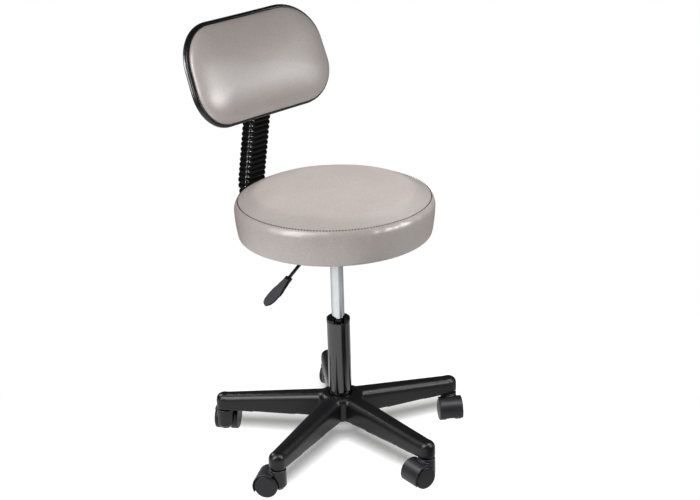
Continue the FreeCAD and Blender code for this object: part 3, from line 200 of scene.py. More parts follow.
def makeStage(look):
    scene.view_settings.view_transform = "Standard"
    bm = bmesh.new()
    bmesh.ops.create_grid(bm, x_segments=1, y_segments=1, size=look["floorSize"] / 2)
    material, tree, shader = newMaterial("matt_white_floor")
    tree.nodes.remove(shader)
    rays = addNode(tree, "ShaderNodeLightPath")
    seen = addNode(tree, "ShaderNodeMath", {0: rays.outputs["Is Camera Ray"], 1: rays.outputs["Is Glossy Ray"]},
                   operation="MAXIMUM")
    seen = addNode(tree, "ShaderNodeMath", {0: seen.outputs[0], 1: rays.outputs["Is Transmission Ray"]},
                   operation="MAXIMUM").outputs[0]
    glow = addNode(tree, "ShaderNodeMath", {0: seen, 1: look["floorGlow"]}, operation="MULTIPLY")
    lit = addNode(tree, "ShaderNodeEmission", {"Strength": glow.outputs[0]})
    tone = addNode(tree, "ShaderNodeMix", {"Factor": seen, 6: linearColour(look["floorBounce"]),
                                           7: linearColour(look["floorShade"])}, data_type="RGBA")
    plain = addNode(tree, "ShaderNodeBsdfDiffuse", {"Color": tone.outputs[2]})
    near = addNode(tree, "ShaderNodeAddShader", {0: plain.outputs[0], 1: lit.outputs[0]})
    # away from the stool the sweep burns out to plain white
    place = addNode(tree, "ShaderNodeTexCoord").outputs["Object"]
    reach = addNode(tree, "ShaderNodeVectorMath", {0: place}, operation="LENGTH").outputs["Value"]
    clear = addNode(tree, "ShaderNodeMapRange", {"Value": reach, "From Min": look["clearFrom"],
                                                 "From Max": look["clearTo"]}, interpolation_type="SMOOTHSTEP")
    mirror = addNode(tree, "ShaderNodeMapRange", {"Value": reach, "From Min": look["mirrorFrom"],
                                                  "From Max": look["mirrorTo"]}, interpolation_type="SMOOTHSTEP")
    bright = addNode(tree, "ShaderNodeMix", {"Factor": rays.outputs["Is Camera Ray"], "A": mirror.outputs["Result"],
                                             "B": clear.outputs["Result"]})
    share = addNode(tree, "ShaderNodeMath", {0: bright.outputs["Result"], 1: seen}, operation="MULTIPLY")
    # polished metal and enamel see that white, but for a dim sector to the right of the camera, darkest near the stool
    towards = addNode(tree, "ShaderNodeVectorMath", {0: place}, operation="NORMALIZE").outputs["Vector"]
    facing = addNode(tree, "ShaderNodeVectorMath", {0: towards, 1: look["dimFloor"]}, operation="DOT_PRODUCT")
    dimmed = addNode(tree, "ShaderNodeMapRange", {"Value": reach, "From Min": look["dimReach"][0],
                                                  "From Max": look["dimReach"][1], "To Min": look["dimNear"],
                                                  "To Max": look["dimFar"]})
    mirrored = addNode(tree, "ShaderNodeMapRange", {"Value": facing.outputs["Value"],
                                                    "From Min": look["dimSector"][0], "From Max": look["dimSector"][1],
                                                    "To Min": 1.0, "To Max": dimmed.outputs["Result"]},
                       interpolation_type="SMOOTHSTEP")
    # it is brightest beside the camera, on its left
    beside = addNode(tree, "ShaderNodeVectorMath", {0: towards, 1: look["brightFloor"]}, operation="DOT_PRODUCT")
    slope = addNode(tree, "ShaderNodeMapRange", {"Value": beside.outputs["Value"],
                                                 "From Min": look["brightSector"][0],
                                                 "From Max": look["brightSector"][1],
                                                 "To Min": look["rightShade"], "To Max": look["brightShade"]})
    # and the sweep ends in a darker room
    ending = addNode(tree, "ShaderNodeMapRange", {"Value": reach, "From Min": look["farFrom"],
                                                  "From Max": look["farTo"], "To Min": 1.0,
                                                  "To Max": look["farShade"]},
                     interpolation_type="SMOOTHSTEP")
    both = addNode(tree, "ShaderNodeMath", {0: mirrored.outputs["Result"], 1: ending.outputs["Result"]},
                   operation="MULTIPLY")
    both = addNode(tree, "ShaderNodeMath", {0: both.outputs[0], 1: slope.outputs["Result"]}, operation="MULTIPLY")
    level = addNode(tree, "ShaderNodeMix", {"Factor": rays.outputs["Is Camera Ray"], "A": both.outputs[0], "B": 1.0})
    white = addNode(tree, "ShaderNodeEmission", {"Strength": level.outputs["Result"]})
    addNode(tree, "ShaderNodeMixShader", {0: share.outputs[0], 1: near.outputs[0], 2: white.outputs[0]},
            {"Shader": tree.nodes["Material Output"].inputs["Surface"]})
    floor = pieceFrom(bm, "floor", material)
    receivers["floor"].objects.link(floor)

    world = bpy.data.worlds.new("studio")
    scene.world = world
    world.use_nodes = True
    tree = world.node_tree
    rays = addNode(tree, "ShaderNodeLightPath")
    sight = addNode(tree, "ShaderNodeTexCoord").outputs["Generated"]
    facing = addNode(tree, "ShaderNodeVectorMath", {0: sight, 1: look["backdrop"]}, operation="DOT_PRODUCT")
    mirrored = addNode(tree, "ShaderNodeMapRange", {"Value": facing.outputs["Value"],
                                                    "From Min": look["backdropSector"][0],
                                                    "From Max": look["backdropSector"][1],
                                                    "To Min": look["room"], "To Max": look["backdropShade"]},
                       interpolation_type="SMOOTHSTEP")
    shown = addNode(tree, "ShaderNodeMath", {0: rays.outputs["Is Glossy Ray"], 1: rays.outputs["Is Transmission Ray"]},
                    operation="MAXIMUM")
    unseen = addNode(tree, "ShaderNodeMix", {"Factor": shown.outputs[0], "A": look["surround"],
                                             "B": mirrored.outputs["Result"]})
    addNode(tree, "ShaderNodeMix", {"Factor": rays.outputs["Is Camera Ray"], "A": unseen.outputs["Result"], "B": 1.0},
            {"Result": tree.nodes["Background"].inputs["Strength"]})
    tree.nodes["Background"].inputs["Color"].default_value = (1, 1, 1, 1)

    for name, lamp in look["lamps"].items():
        data = bpy.data.lights.new(name, "AREA")
        data.shape = "RECTANGLE"
        data.size, data.size_y = lamp["size"]
        data.energy = lamp["power"]
        light = bpy.data.objects.new(name, data)
        scene.collection.objects.link(light)
        light.location = lamp["place"]
        light.rotation_euler = (Vector(look["aim"]) - light.location).to_track_quat("-Z", "Y").to_euler()
        light.light_linking.receiver_collection = receivers[lamp["on"]]
        light.visible_glossy = name not in look["unmirrored"]
        if lamp["on"] == "seat":
            light.light_linking.blocker_collection = receivers["star"]
    # the floor has a lamp of its own from the camera's side, and only the legs stand in its light
    data = bpy.data.lights.new("sun", "SUN")
    data.angle = math.radians(look["sun"]["angle"])
    data.energy = look["sun"]["strength"]
    light = bpy.data.objects.new("sun", data)
    scene.collection.objects.link(light)
    light.location = look["sun"]["place"]
    light.rotation_euler = (-light.location).to_track_quat("-Z", "Y").to_euler()
    light.light_linking.receiver_collection = receivers["floor"]
    light.light_linking.blocker_collection = receivers["star"]


makeStage(stageLook)
print("stage lit")


# Materials

# the emboss of the vinyl is about 0.8 mm; drawn at 2.4 mm so that it shows
vinylLook = {"colours": ("b2a9a5", "bbb2ae"), "patchMm": 130.0, "roughness": (0.38, 0.46), "grainMm": 2.4,
             "creaseMm": 9.0, "creaseShare": 0.6, "reliefMm": 0.25, "relief": 0.35, "valleys": (0.1, 0.7),
             "paintedEmbossShade": (0.89, 1.10), "coatRoughness": 0.37, "coatIor": 1.8, "ior": 1.5,
             "upward": (0.92, 0.985), "dulled": {"Coat Weight": (1.0, 0.15), "Specular IOR Level": (0.5, 0.12)}}


def makeVinyl(look):
    # PVC-coated upholstery cloth, embossed with a fine leather grain: warm grey with a soft satin sheen
    material, tree, shader = newMaterial("grey_upholstery_vinyl")
    place = wear(tree, shader, look["colours"], look["patchMm"], look["roughness"])
    grain = addNode(tree, "ShaderNodeTexVoronoi", {"Vector": place, "Scale": perMetre(look["grainMm"])},
                    feature="SMOOTH_F1")
    creases = addNode(tree, "ShaderNodeTexNoise", {"Vector": place, "Scale": perMetre(look["creaseMm"]), "Detail": 5.0})
    both = addNode(tree, "ShaderNodeMath", {0: creases.outputs["Fac"], 1: look["creaseShare"],
                                            2: grain.outputs["Distance"]}, operation="MULTIPLY_ADD")
    addNode(tree, "ShaderNodeBump", {"Height": both.outputs[0], "Distance": look["reliefMm"] / 1000,
                                     "Strength": look["relief"]}, {"Normal": shader.inputs["Normal"]})
    # painted shade and light: the colour is darkened in the low parts of the emboss and lightened on its high parts,
    # standing in for the shading of the relief
    valleys = addNode(tree, "ShaderNodeMapRange", {"Value": grain.outputs["Distance"], "From Min": look["valleys"][0],
                                                   "From Max": look["valleys"][1], "To Min": look["paintedEmbossShade"][0],
                                                   "To Max": look["paintedEmbossShade"][1]})
    addNode(tree, "ShaderNodeVectorMath", {0: shader.inputs["Base Color"].links[0].from_socket,
                                           1: valleys.outputs["Result"]},
            {"Vector": shader.inputs["Base Color"]}, operation="MULTIPLY")
    # sitting has dulled the top of the seat
    facing = addNode(tree, "ShaderNodeNewGeometry").outputs["Normal"]
    upward = addNode(tree, "ShaderNodeSeparateXYZ", {"Vector": facing}).outputs["Z"]
    for gloss, (full, dull) in look["dulled"].items():
        addNode(tree, "ShaderNodeMapRange", {"Value": upward, "From Min": look["upward"][0],
                                             "From Max": look["upward"][1], "To Min": full, "To Max": dull},
                {"Result": shader.inputs[gloss]})
    shader.inputs["Coat Roughness"].default_value = look["coatRoughness"]
    shader.inputs["Coat IOR"].default_value = look["coatIor"]
    shader.inputs["IOR"].default_value = look["ior"]
    return material


finishLook = {"mouldedPatchMm": 60.0, "paintedPatchMm": 45.0, "platedPatchMm": 30.0, "peelHeightMm": 0.1, "peel": 0.08,
              "paintSpecular": 0.4, "filmRoughness": 0.08, "lineHeightMm": 0.01, "line": 0.05, "lineStretch": 0.05}


def makeMoulded(name, colours, roughness, specular, grainMm, depthMm, strength):
    # injection-moulded plastic or rubber: even colour, a spark-eroded grain, slow changes of gloss
    material, tree, shader = newMaterial(name)
    place = wear(tree, shader, colours, finishLook["mouldedPatchMm"], roughness)
    grain = addNode(tree, "ShaderNodeTexNoise", {"Vector": place, "Scale": perMetre(grainMm), "Detail": 3.0})
    addNode(tree, "ShaderNodeBump", {"Height": grain.outputs["Fac"], "Distance": depthMm / 1000, "Strength": strength},
            {"Normal": shader.inputs["Normal"]})
    shader.inputs["Specular IOR Level"].default_value = specular
    return material


def makePainted(name, colours, roughness, peelMm, coat):
    # stove enamel or powder coat on steel: the faint orange peel of a sprayed film
    material, tree, shader = newMaterial(name)
    place = wear(tree, shader, colours, finishLook["paintedPatchMm"], roughness)
    peel = addNode(tree, "ShaderNodeTexNoise", {"Vector": place, "Scale": perMetre(peelMm), "Detail": 1.0})
    addNode(tree, "ShaderNodeBump", {"Height": peel.outputs["Fac"], "Distance": finishLook["peelHeightMm"] / 1000,
                                     "Strength": finishLook["peel"]}, {"Normal": shader.inputs["Normal"]})
    shader.inputs["Specular IOR Level"].default_value = finishLook["paintSpecular"]
    shader.inputs["Coat Weight"].default_value = coat
    shader.inputs["Coat Roughness"].default_value = finishLook["filmRoughness"]
    return material


def makeMetal(name, colours, roughness, lineMm):
    # turned or drawn steel, plated: fine lines round the part scatter the highlight a little
    material, tree, shader = newMaterial(name)
    place = wear(tree, shader, colours, finishLook["platedPatchMm"], roughness)
    stretch = finishLook["lineStretch"]
    flat = addNode(tree, "ShaderNodeMapping", {"Vector": place, "Scale": (stretch, stretch, 1.0)})
    lines = addNode(tree, "ShaderNodeTexNoise", {"Vector": flat.outputs["Vector"], "Scale": perMetre(lineMm),
                                                 "Detail": 2.0})
    addNode(tree, "ShaderNodeBump", {"Height": lines.outputs["Fac"], "Distance": finishLook["lineHeightMm"] / 1000,
                                     "Strength": finishLook["line"]}, {"Normal": shader.inputs["Normal"]})
    shader.inputs["Metallic"].default_value = 1.0
    return material


plyLook = {"colours": ("b98d5c", "cda673"), "streaks": ("a87c4c", "d9b684"), "patchMm": 40.0, "roughness": (0.55, 0.7),
           "streakMm": 3.0, "stretch": 0.06, "reliefMm": 0.1, "relief": 0.2}


def makePlywood(look):
    # birch plywood: pale, with long grain streaks and darker latewood lines
    material, tree, shader = newMaterial("birch_plywood")
    place = wear(tree, shader, look["colours"], look["patchMm"], look["roughness"])
    along = addNode(tree, "ShaderNodeMapping", {"Vector": place, "Scale": (1.0, look["stretch"], 1.0)})
    streaks = addNode(tree, "ShaderNodeTexNoise", {"Vector": along.outputs["Vector"],
                                                   "Scale": perMetre(look["streakMm"]), "Detail": 6.0,
                                                   "Roughness": 0.6}).outputs["Fac"]
    tone = addNode(tree, "ShaderNodeValToRGB", {"Fac": streaks}, {"Color": shader.inputs["Base Color"]})
    for stop, colour in zip(tone.color_ramp.elements, look["streaks"]):
        stop.color = linearColour(colour)
    addNode(tree, "ShaderNodeBump", {"Height": streaks, "Distance": look["reliefMm"] / 1000,
                                     "Strength": look["relief"]}, {"Normal": shader.inputs["Normal"]})
    return material


vinyl = makeVinyl(vinylLook)
nylon = makeMoulded("black_glass_filled_nylon", ("070709", "0b0b0d"), (0.31, 0.37),
                    specular=0.34, grainMm=1.6, depthMm=0.06, strength=0.07)
casterNylon = makeMoulded("black_caster_nylon", ("141417", "1b1b1e"), (0.36, 0.46),
                          specular=0.35, grainMm=1.6, depthMm=0.08, strength=0.25)
trimPlastic = makeMoulded("black_edge_trim", ("0f0f11", "151518"), (0.24, 0.32),
                          specular=0.4, grainMm=2.0, depthMm=0.05, strength=0.12)
bushPlastic = makeMoulded("black_acetal", ("0d0d0e", "131314"), (0.2, 0.28),
                          specular=0.35, grainMm=2.0, depthMm=0.04, strength=0.1)
bellowsRubber = makeMoulded("black_moulded_rubber", ("010101", "020202"), (0.05, 0.09),
                            specular=0.13, grainMm=1.4, depthMm=0.06, strength=0.06)
knobPlastic = makeMoulded("black_phenolic_knob", ("111112", "18181a"), (0.28, 0.4),
                          specular=0.4, grainMm=1.6, depthMm=0.06, strength=0.2)
# painted sheen: this grey stands for an overhead light's reflection on the black top of the lever paddle
paddleSheenGrey = makeMoulded("dark_grey_polypropylene", ("46464c", "515157"), (0.4, 0.5),
                            specular=0.4, grainMm=1.2, depthMm=0.1, strength=0.3)
thread = makeMoulded("bonded_nylon_thread", ("26221f", "322d2a"), (0.5, 0.6),
                     specular=0.3, grainMm=0.6, depthMm=0.1, strength=0.4)
tubeEnamel = makePainted("black_gloss_enamel", ("060607", "0a0a0b"), (0.1, 0.18), peelMm=2.5, coat=0.9)
powderCoat = makePainted("black_powder_coat", ("0d0d0e", "141415"), (0.34, 0.46), peelMm=1.4, coat=0.15)
chrome = makeMetal("bright_chrome_plate", ("c2c4c7", "cfd0d2"), (0.07, 0.12), lineMm=0.8)
zincSteel = makeMetal("zinc_plated_steel", ("9c9ea0", "b3b4b6"), (0.3, 0.42), lineMm=0.6)
plywood = makePlywood(plyLook)

cadFinish = {"steel": zincSteel, "chrome": chrome, "black_tube": tubeEnamel, "bush_plastic": bushPlastic,
             "black_steel": powderCoat, "nylon": nylon, "wheel_plastic": casterNylon, "plywood": plywood,
             "trim_plastic": trimPlastic, "knob_plastic": knobPlastic, "lever_plastic": paddleSheenGrey,
             "rubber": bellowsRubber, "vinyl": vinyl}
for subpart in frame["record"]["subparts"]:
    node = nodes[subpart["node"]]
    node.data.materials.clear()
    node.data.materials.append(cadFinish[subpart["material_slot"]])
print("materials:", len(bpy.data.materials))


# Shared shaping

weldGap = 0.00001
easeFactor = 0.5


def discGrid(bm, cells):
    # a square grid pressed out to a unit disc, whose rim points stand at even angles
    made = bmesh.ops.create_grid(bm, x_segments=cells, y_segments=cells, size=1.0)
    for vert in made["verts"]:
        x, y = vert.co.x, vert.co.y
        reach = max(abs(x), abs(y))
        if reach == 0:
            continue
        turn = math.pi / 4 * (y / x if abs(x) >= abs(y) else 2 - x / y)
        side = math.copysign(reach, x if abs(x) >= abs(y) else y)
        vert.co = (side * math.cos(turn), side * math.sin(turn), 0)
    return made["verts"]


def openEdges(bm):
    return [edge for edge in bm.edges if edge.is_boundary]


def drawOn(bm, edges):
    # one more ring beyond an open edge loop: the new edges, and each new vertex with the one that it left
    made = bmesh.ops.extrude_edge_only(bm, edges=edges)["geom"]
    fresh = [item for item in made if isinstance(item, bmesh.types.BMVert)]
    freshSet = set(fresh)
    pairs = []
    for vert in fresh:
        for edge in vert.link_edges:
            other = edge.other_vert(vert)
            if other not in freshSet:
                pairs.append((vert, other))
    return [item for item in made if isinstance(item, bmesh.types.BMEdge)], pairs


def inflate(piece, pinned, look):
    # cloth swells under pressure between its sewn and tacked lines; foam evens the swell out, up to the cap
    rest = [vert.co.copy() for vert in piece.data.vertices]
    beside = [[] for vert in rest]
    for edge in piece.data.edges:
        one, other = edge.vertices
        beside[one].append(other)
        beside[other].append(one)
    group = piece.vertex_groups.new(name="sewn")
    for index, weight in pinned.items():
        group.add([index], weight, "REPLACE")
    cloth = piece.modifiers.new("stuffing", "CLOTH")
    settings = cloth.settings
    settings.quality = look["quality"]
    settings.mass = look["mass"]
    settings.tension_stiffness = look["tension"]
    settings.compression_stiffness = look["tension"]
    settings.bending_stiffness = look["bending"]
    settings.use_pressure = True
    settings.uniform_pressure_force = look["pressure"]
    settings.vertex_group_mass = group.name
    settings.effector_weights.gravity = 0.0
    cloth.collision_settings.use_collision = False
    for step in range(1, look["frames"] + 1):
        scene.frame_set(step)
    applyModifiers(piece)
    scene.frame_set(1)
    moves = [vert.co - start for vert, start in zip(piece.data.vertices, rest)]
    for turn in range(look["ease"]):
        moves = [sum((moves[near] for near in beside[index]), move) / (len(beside[index]) + 1)
                 for index, move in enumerate(moves)]
    for vert, start, move in zip(piece.data.vertices, rest, moves):
        vert.co = start + move * min(1.0, look["cap"] / max(move.length, 1e-9))
    piece.vertex_groups.clear()


def subdivided(piece, levels):
    modifier = piece.modifiers.new("fine", "SUBSURF")
    modifier.levels = modifier.render_levels = levels
    applyModifiers(piece)


# Seat cushion: a crowned top panel sewn to a side band, tacked under the board

seatLook = {"cells": 64, "seamRadius": 0.2035, "seamHeight": 0.5720, "shoulder": 0.0150, "shoulderWidth": 0.045,
            "crown": 0.0100, "crowding": 1.35, "foot": 0.4946, "footRise": 0.0045, "bulge": 0.2115,
            "footRadius": 0.2055, "sideCurve": 1.8,
            "hem": ((0.0018, 0.0010), (0.0004, 0.0030), (0.0, 0.0050)), "underRadius": 0.1975,
            "tuck": (0.0012, 0.002), "seamGrip": 0.003, "footGrip": 0.006,
            "rollFrom": 50.0, "rollSteps": 9, "sideSteps": 10, "grooveDepth": 0.0003, "grooveWidth": 0.0022,
            "puckerSeed": 7, "puckerWaves": 5, "puckerCounts": (23, 67), "puckerPhase": 6.283, "puckerDepth": 0.0022,
            "puckerStart": 0.004, "puckerReach": 0.030, "puckerTurn": 268.0, "puckerSpread": 24.0, "puckerRest": 0.3,
            "cloth": {"quality": 6, "mass": 0.3, "tension": 18.0, "bending": 2.0, "pressure": 3.0, "frames": 20,
                      "ease": 25, "cap": 0.0015}}


def makeSeat(look):
    bm = bmesh.new()
    seam, top = look["seamRadius"], look["seamHeight"]
    for vert in discGrid(bm, look["cells"]):
        # rings crowd towards the seam, where the panel rolls over; the middle is nearly flat
        reach = min(vert.co.length, 1.0)
        inward = (1 - reach ** look["crowding"]) * seam
        vert.co = vert.co.normalized() * (seam - inward)
        roll = min(inward / look["shoulderWidth"], 1.0)
        middle = max(0.0, 1 - ((seam - inward) / seam) ** 2)
        vert.co.z = top + look["shoulder"] * math.sin(math.pi / 2 * roll) + look["crown"] * middle
    # the sewn groove, then the band: it rolls over from the seam, falls to the foot and turns in under the board
    foot, bulge = look["foot"], look["bulge"]
    first = math.radians(look["rollFrom"])
    rolling = (bulge - seam) / (1 - math.cos(first))
    shoulderHeight = top - rolling * math.sin(first)
    begin = first - look["grooveWidth"] / rolling
    half, depth = look["grooveWidth"] / 2, look["grooveDepth"]
    sections = [(top - half * math.cos(first) - depth * math.sin(first),
                 seam + half * math.sin(first) - depth * math.cos(first))]
    for step in range(look["rollSteps"]):
        angle = begin * (1 - step / look["rollSteps"])
        sections.append((shoulderHeight + rolling * math.sin(angle), bulge - rolling * (1 - math.cos(angle))))
    for step in range(look["sideSteps"]):
        share = step / (look["sideSteps"] - 1)
        sections.append((shoulderHeight + (foot + look["footRise"] - shoulderHeight) * share,
                         bulge - (bulge - look["footRadius"]) * share ** look["sideCurve"]))
    sections += [(foot + rise, look["footRadius"] - drawIn) for rise, drawIn in look["hem"]]
    rise, drawIn = look["tuck"]
    sections += [(foot, look["underRadius"]), (foot + rise, look["underRadius"] - drawIn)]
    edges = openEdges(bm)
    for level, radius in sections:
        edges, pairs = drawOn(bm, edges)
        for vert, before in pairs:
            flat = Vector((before.co.x, before.co.y, 0)).normalized() * radius
            vert.co = (flat.x, flat.y, level)
    piece = pieceFrom(bm, "seat_cushion_cover", vinyl, sharpAngle=180)
    pinned = {}
    for vert in piece.data.vertices:
        nearSeam = math.hypot(math.hypot(vert.co.x, vert.co.y) - seam, vert.co.z - top) < look["seamGrip"]
        if nearSeam or vert.co.z < foot + look["footGrip"]:
            pinned[vert.index] = 1.0
    inflate(piece, pinned, look["cloth"])
    subdivided(piece, levels=1)
    # the band puckers a little below the sewn line
    draw = random.Random(look["puckerSeed"])
    waves = [(draw.randint(*look["puckerCounts"]), draw.uniform(0, look["puckerPhase"]))
             for count in range(look["puckerWaves"])]
    for vert in piece.data.vertices:
        flat = Vector((vert.co.x, vert.co.y, 0))
        below = top - vert.co.z
        if below > 0 and flat.length > look["underRadius"]:
            turn = math.atan2(flat.y, flat.x)
            fold = sum(math.sin(count * turn + phase) for count, phase in waves) / len(waves)
            fade = math.exp(-(below / look["puckerReach"]) ** 2) * (1 - math.exp(-(below / look["puckerStart"]) ** 2))
            # most of them lie at the right of the front, where the band was drawn tight
            aside = (math.degrees(turn) - look["puckerTurn"] + 180) % 360 - 180
            fade *= look["puckerRest"] + (1 - look["puckerRest"]) * math.exp(-(aside / look["puckerSpread"]) ** 2)
            vert.co += flat.normalized() * look["puckerDepth"] * fold * fade
    dress(piece, "seat", "vinyl", "seat_cushion")


makeSeat(seatLook)
print("seat cushion upholstered")

stitchLook = {"pitch": 0.0064, "length": 0.0030, "radius": 0.0012, "ringRadius": 0.2042, "height": 0.5721,
              "around": 6, "along": 4}


def makeStitches(look):
    bm = bmesh.new()
    count = round(2 * math.pi * look["ringRadius"] / look["pitch"])
    for step in range(count):
        turn = Matrix.Rotation(2 * math.pi * step / count, 4, "Z")
        lie = Matrix.Translation((look["ringRadius"], 0, look["height"])) @ Matrix.Rotation(math.pi / 2, 4, "X")
        made = bmesh.ops.create_uvsphere(bm, u_segments=look["around"], v_segments=look["along"],
                                         radius=look["radius"])["verts"]
        stretch = Matrix.Diagonal((1, 1, look["length"] / (2 * look["radius"]), 1))
        bmesh.ops.transform(bm, matrix=turn @ lie @ stretch, verts=made)
    dress(pieceFrom(bm, "seat_seam_stitches", thread), "seat", "vinyl")


makeStitches(stitchLook)
print("seam stitched")


# Backrest: its own frame, an outline with wider round corners at the top, and a curve about an upright axis

backLook = {"origin": (0, 0.22558, 0.82196), "lean": 20.8, "curve": 0.930, "height": 0.225, "topWidth": 0.382,
            "bottomWidth": 0.396, "topRound": 0.092, "bottomRound": 0.085, "cornerSteps": 14, "sideSteps": 10,
            "longSide": 0.02}
backFrame = Matrix.Translation(backLook["origin"]) @ Matrix.Rotation(-math.radians(backLook["lean"]), 4, "X")


def backLoop(bm, look):
    # the outline as one face, with its corners rounded and its straight sides divided
    top, bottom, rise = look["topWidth"] / 2, look["bottomWidth"] / 2, look["height"] / 2
    corners = [bm.verts.new(spot) for spot in ((-bottom, 0, -rise), (bottom, 0, -rise), (top, 0, rise),
                                               (-top, 0, rise))]
    bm.faces.new(corners)
    for pair, rounding in ((corners[:2], look["bottomRound"]), (corners[2:], look["topRound"])):
        bmesh.ops.bevel(bm, geom=pair, offset=rounding, offset_type="OFFSET", segments=look["cornerSteps"],
                        profile=0.5, affect="VERTICES", material=-1)
    longOnes = [edge for edge in bm.edges if edge.calc_length() > look["longSide"]]
    bmesh.ops.subdivide_edges(bm, edges=longOnes, cuts=look["sideSteps"])
    bmesh.ops.delete(bm, geom=list(bm.faces), context="FACES_KEEP_BOUNDARY")
    return list(bm.edges)


def loopNormals(edges):
    # the outward direction of each outline point, in the plane of the loop
    normals = {}
    for vert in {vert for edge in edges for vert in edge.verts}:
        around = [edge.other_vert(vert).co for edge in vert.link_edges]
        along = around[1] - around[0]
        across = Vector((along.z, 0, -along.x)).normalized()
        normals[vert] = across if across.dot(vert.co) > 0 else -across
    return normals


def panel(bm, edges, sections):
    # rings from an outline: how far each is drawn in from it, its size beside it, and its depth
    origin = {vert: (vert.co.copy(), normal) for vert, normal in loopNormals(edges).items()}
    for drawIn, size, depth in sections:
        edges, pairs = drawOn(bm, edges)
        for vert, before in pairs:
            spot, normal = origin[before]
            origin[vert] = origin[before]
            vert.co = (spot - normal * drawIn) * size
            vert.co.y = depth
    return edges


def bendBack(bm, look):
    for vert in bm.verts:
        vert.co.y = math.sqrt((look["curve"] + vert.co.y) ** 2 - vert.co.x ** 2) - look["curve"]
    bmesh.ops.transform(bm, matrix=backFrame, verts=bm.verts)


shellLook = {"depth": 0.0172, "bead": 0.0052, "rim": 0.0078, "tray": 0.006, "beadSteps": 14,
             "lip": ((-0.0008, 0.0002), (0.0, 0.0014)), "trayIn": 0.02, "rearSizes": (0.8, 0.55, 0.3, 0.08)}


def makeShell(look):
    # one moulded tray with a half-round rim: from the lip at the front, round the edge, to the rear middle
    bm = bmesh.new()
    half = look["depth"] / 2
    edges = backLoop(bm, backLook)
    for vert in bm.verts:
        vert.co.y = half

    def bead(turns):
        return [(look["bead"] * (1 - math.cos(turn)), 1, half - half * math.sin(turn)) for turn in turns]

    quarter = [math.pi / 2 * step / look["beadSteps"] for step in range(1, look["beadSteps"] + 1)]
    lip = [(look["rim"] + drawIn, 1, depth) for drawIn, depth in look["lip"]]
    lip += [(look["rim"], 1, look["tray"]), (look["trayIn"], 1, look["tray"])]
    panel(bm, edges, bead(quarter) + lip)
    rear = bead([-turn for turn in quarter]) + [(look["bead"], size, look["depth"]) for size in look["rearSizes"]]
    bmesh.ops.edgeloop_fill(bm, edges=panel(bm, edges, rear))
    bendBack(bm, backLook)
    dress(pieceFrom(bm, "back_shell_moulding", trimPlastic), "backrest", "trim_plastic", "back_shell")


makeShell(shellLook)
print("back shell moulded")

padLook = {"inset": 0.0066, "lip": 0.0015, "drop": 0.0018, "tuck": 0.0045, "tuckIn": 0.006, "swell": 0.0240,
           "crown": 0.0135, "crownWidth": 0.19, "crownHeight": 0.11, "sewnDepth": 0.004,
           "ease": 40, "foamFrom": 0.006, "foamOver": 0.010, "foamLeast": 0.1,
           "edge": ((0.0, 0.06), (0.0006, 0.22), (0.0024, 0.38), (0.0060, 0.52), (0.0120, 0.63), (0.0200, 0.71),
                    (0.0300, 0.775), (0.0420, 0.82), (0.0550, 0.85), (0.0680, 0.87)),
           "middle": (0.84, 0.68, 0.52, 0.36, 0.2, 0.06), "rearSizes": (1, 0.6, 0.1),
           "cloth": {"quality": 6, "mass": 0.3, "tension": 20.0, "bending": 4.0, "pressure": 2.4, "frames": 20,
                     "ease": 25, "cap": 0.0015}}


def makePad(look):
    bm = bmesh.new()
    edges = backLoop(bm, backLook)
    for vert, normal in loopNormals(edges).items():
        vert.co -= normal * look["inset"]
        vert.co.y = look["lip"]
    front = [(drawIn, 1, -rise * look["swell"]) for drawIn, rise in look["edge"]]
    last, full = look["edge"][-1]
    front += [(last, size, -full * look["swell"]) for size in look["middle"]]
    bmesh.ops.edgeloop_fill(bm, edges=panel(bm, edges, front))
    for vert in bm.verts:
        # the stuffing is thickest in the middle of the board
        share = max(0.0, -vert.co.y / (full * look["swell"]))
        across = 1 - (vert.co.x / look["crownWidth"]) ** 2
        upward = 1 - (vert.co.z / look["crownHeight"]) ** 2
        vert.co.y -= look["crown"] * share * max(0.0, across) * max(0.0, upward)
    rear = [(0, 1, look["tuck"])] + [(look["tuckIn"], size, look["tuck"]) for size in look["rearSizes"]]
    bmesh.ops.edgeloop_fill(bm, edges=panel(bm, edges, rear))
    bmesh.ops.translate(bm, vec=(0, 0, -look["drop"]), verts=bm.verts)
    bendBack(bm, backLook)
    piece = pieceFrom(bm, "back_cushion_cover", vinyl, sharpAngle=180)
    toBack = backFrame.inverted()
    spots = [toBack @ vert.co for vert in piece.data.vertices]
    depths = [-spot.y - spot.x ** 2 / (2 * backLook["curve"]) for spot in spots]
    inflate(piece, {index: 1.0 for index, depth in enumerate(depths) if depth < look["sewnDepth"]}, look["cloth"])
    # the foam evens out the front, but not the edge where the cover is tucked in
    foam = piece.vertex_groups.new(name="foam")
    for index, depth in enumerate(depths):
        share = (depth - look["foamFrom"]) / look["foamOver"]
        foam.add([index], min(1.0, max(look["foamLeast"], share)), "REPLACE")
    smooth = piece.modifiers.new("ease", "SMOOTH")
    smooth.factor = easeFactor
    smooth.iterations = look["ease"]
    smooth.vertex_group = foam.name
    subdivided(piece, levels=2)
    piece.vertex_groups.clear()
    piece.data.shade_smooth()
    dress(piece, "backrest", "vinyl", "back_cushion")


makePad(padLook)
print("back cushion upholstered")


# Bellows: a rectangular rubber sleeve in rounded folds along the bent bar

bellowsLook = {"bendCentre": (0.1785, 0.55004), "bendRadius": 0.076, "startAngle": -25.0, "lean": 10.2,
               "straight": 0.1604, "ribs": 17, "halfWidth": 0.0260, "halfDepth": 0.0118, "corner": 0.0045,
               "cornerSteps": 6, "fold": 0.0045, "foldHalf": 0.47, "foldCurve": (2.4, 0.6), "ringsPerRib": 9,
               "longSide": 0.004, "sideCuts": 4, "gripWidth": 0.0197, "gripDepth": 0.0047, "endReach": 0.05}


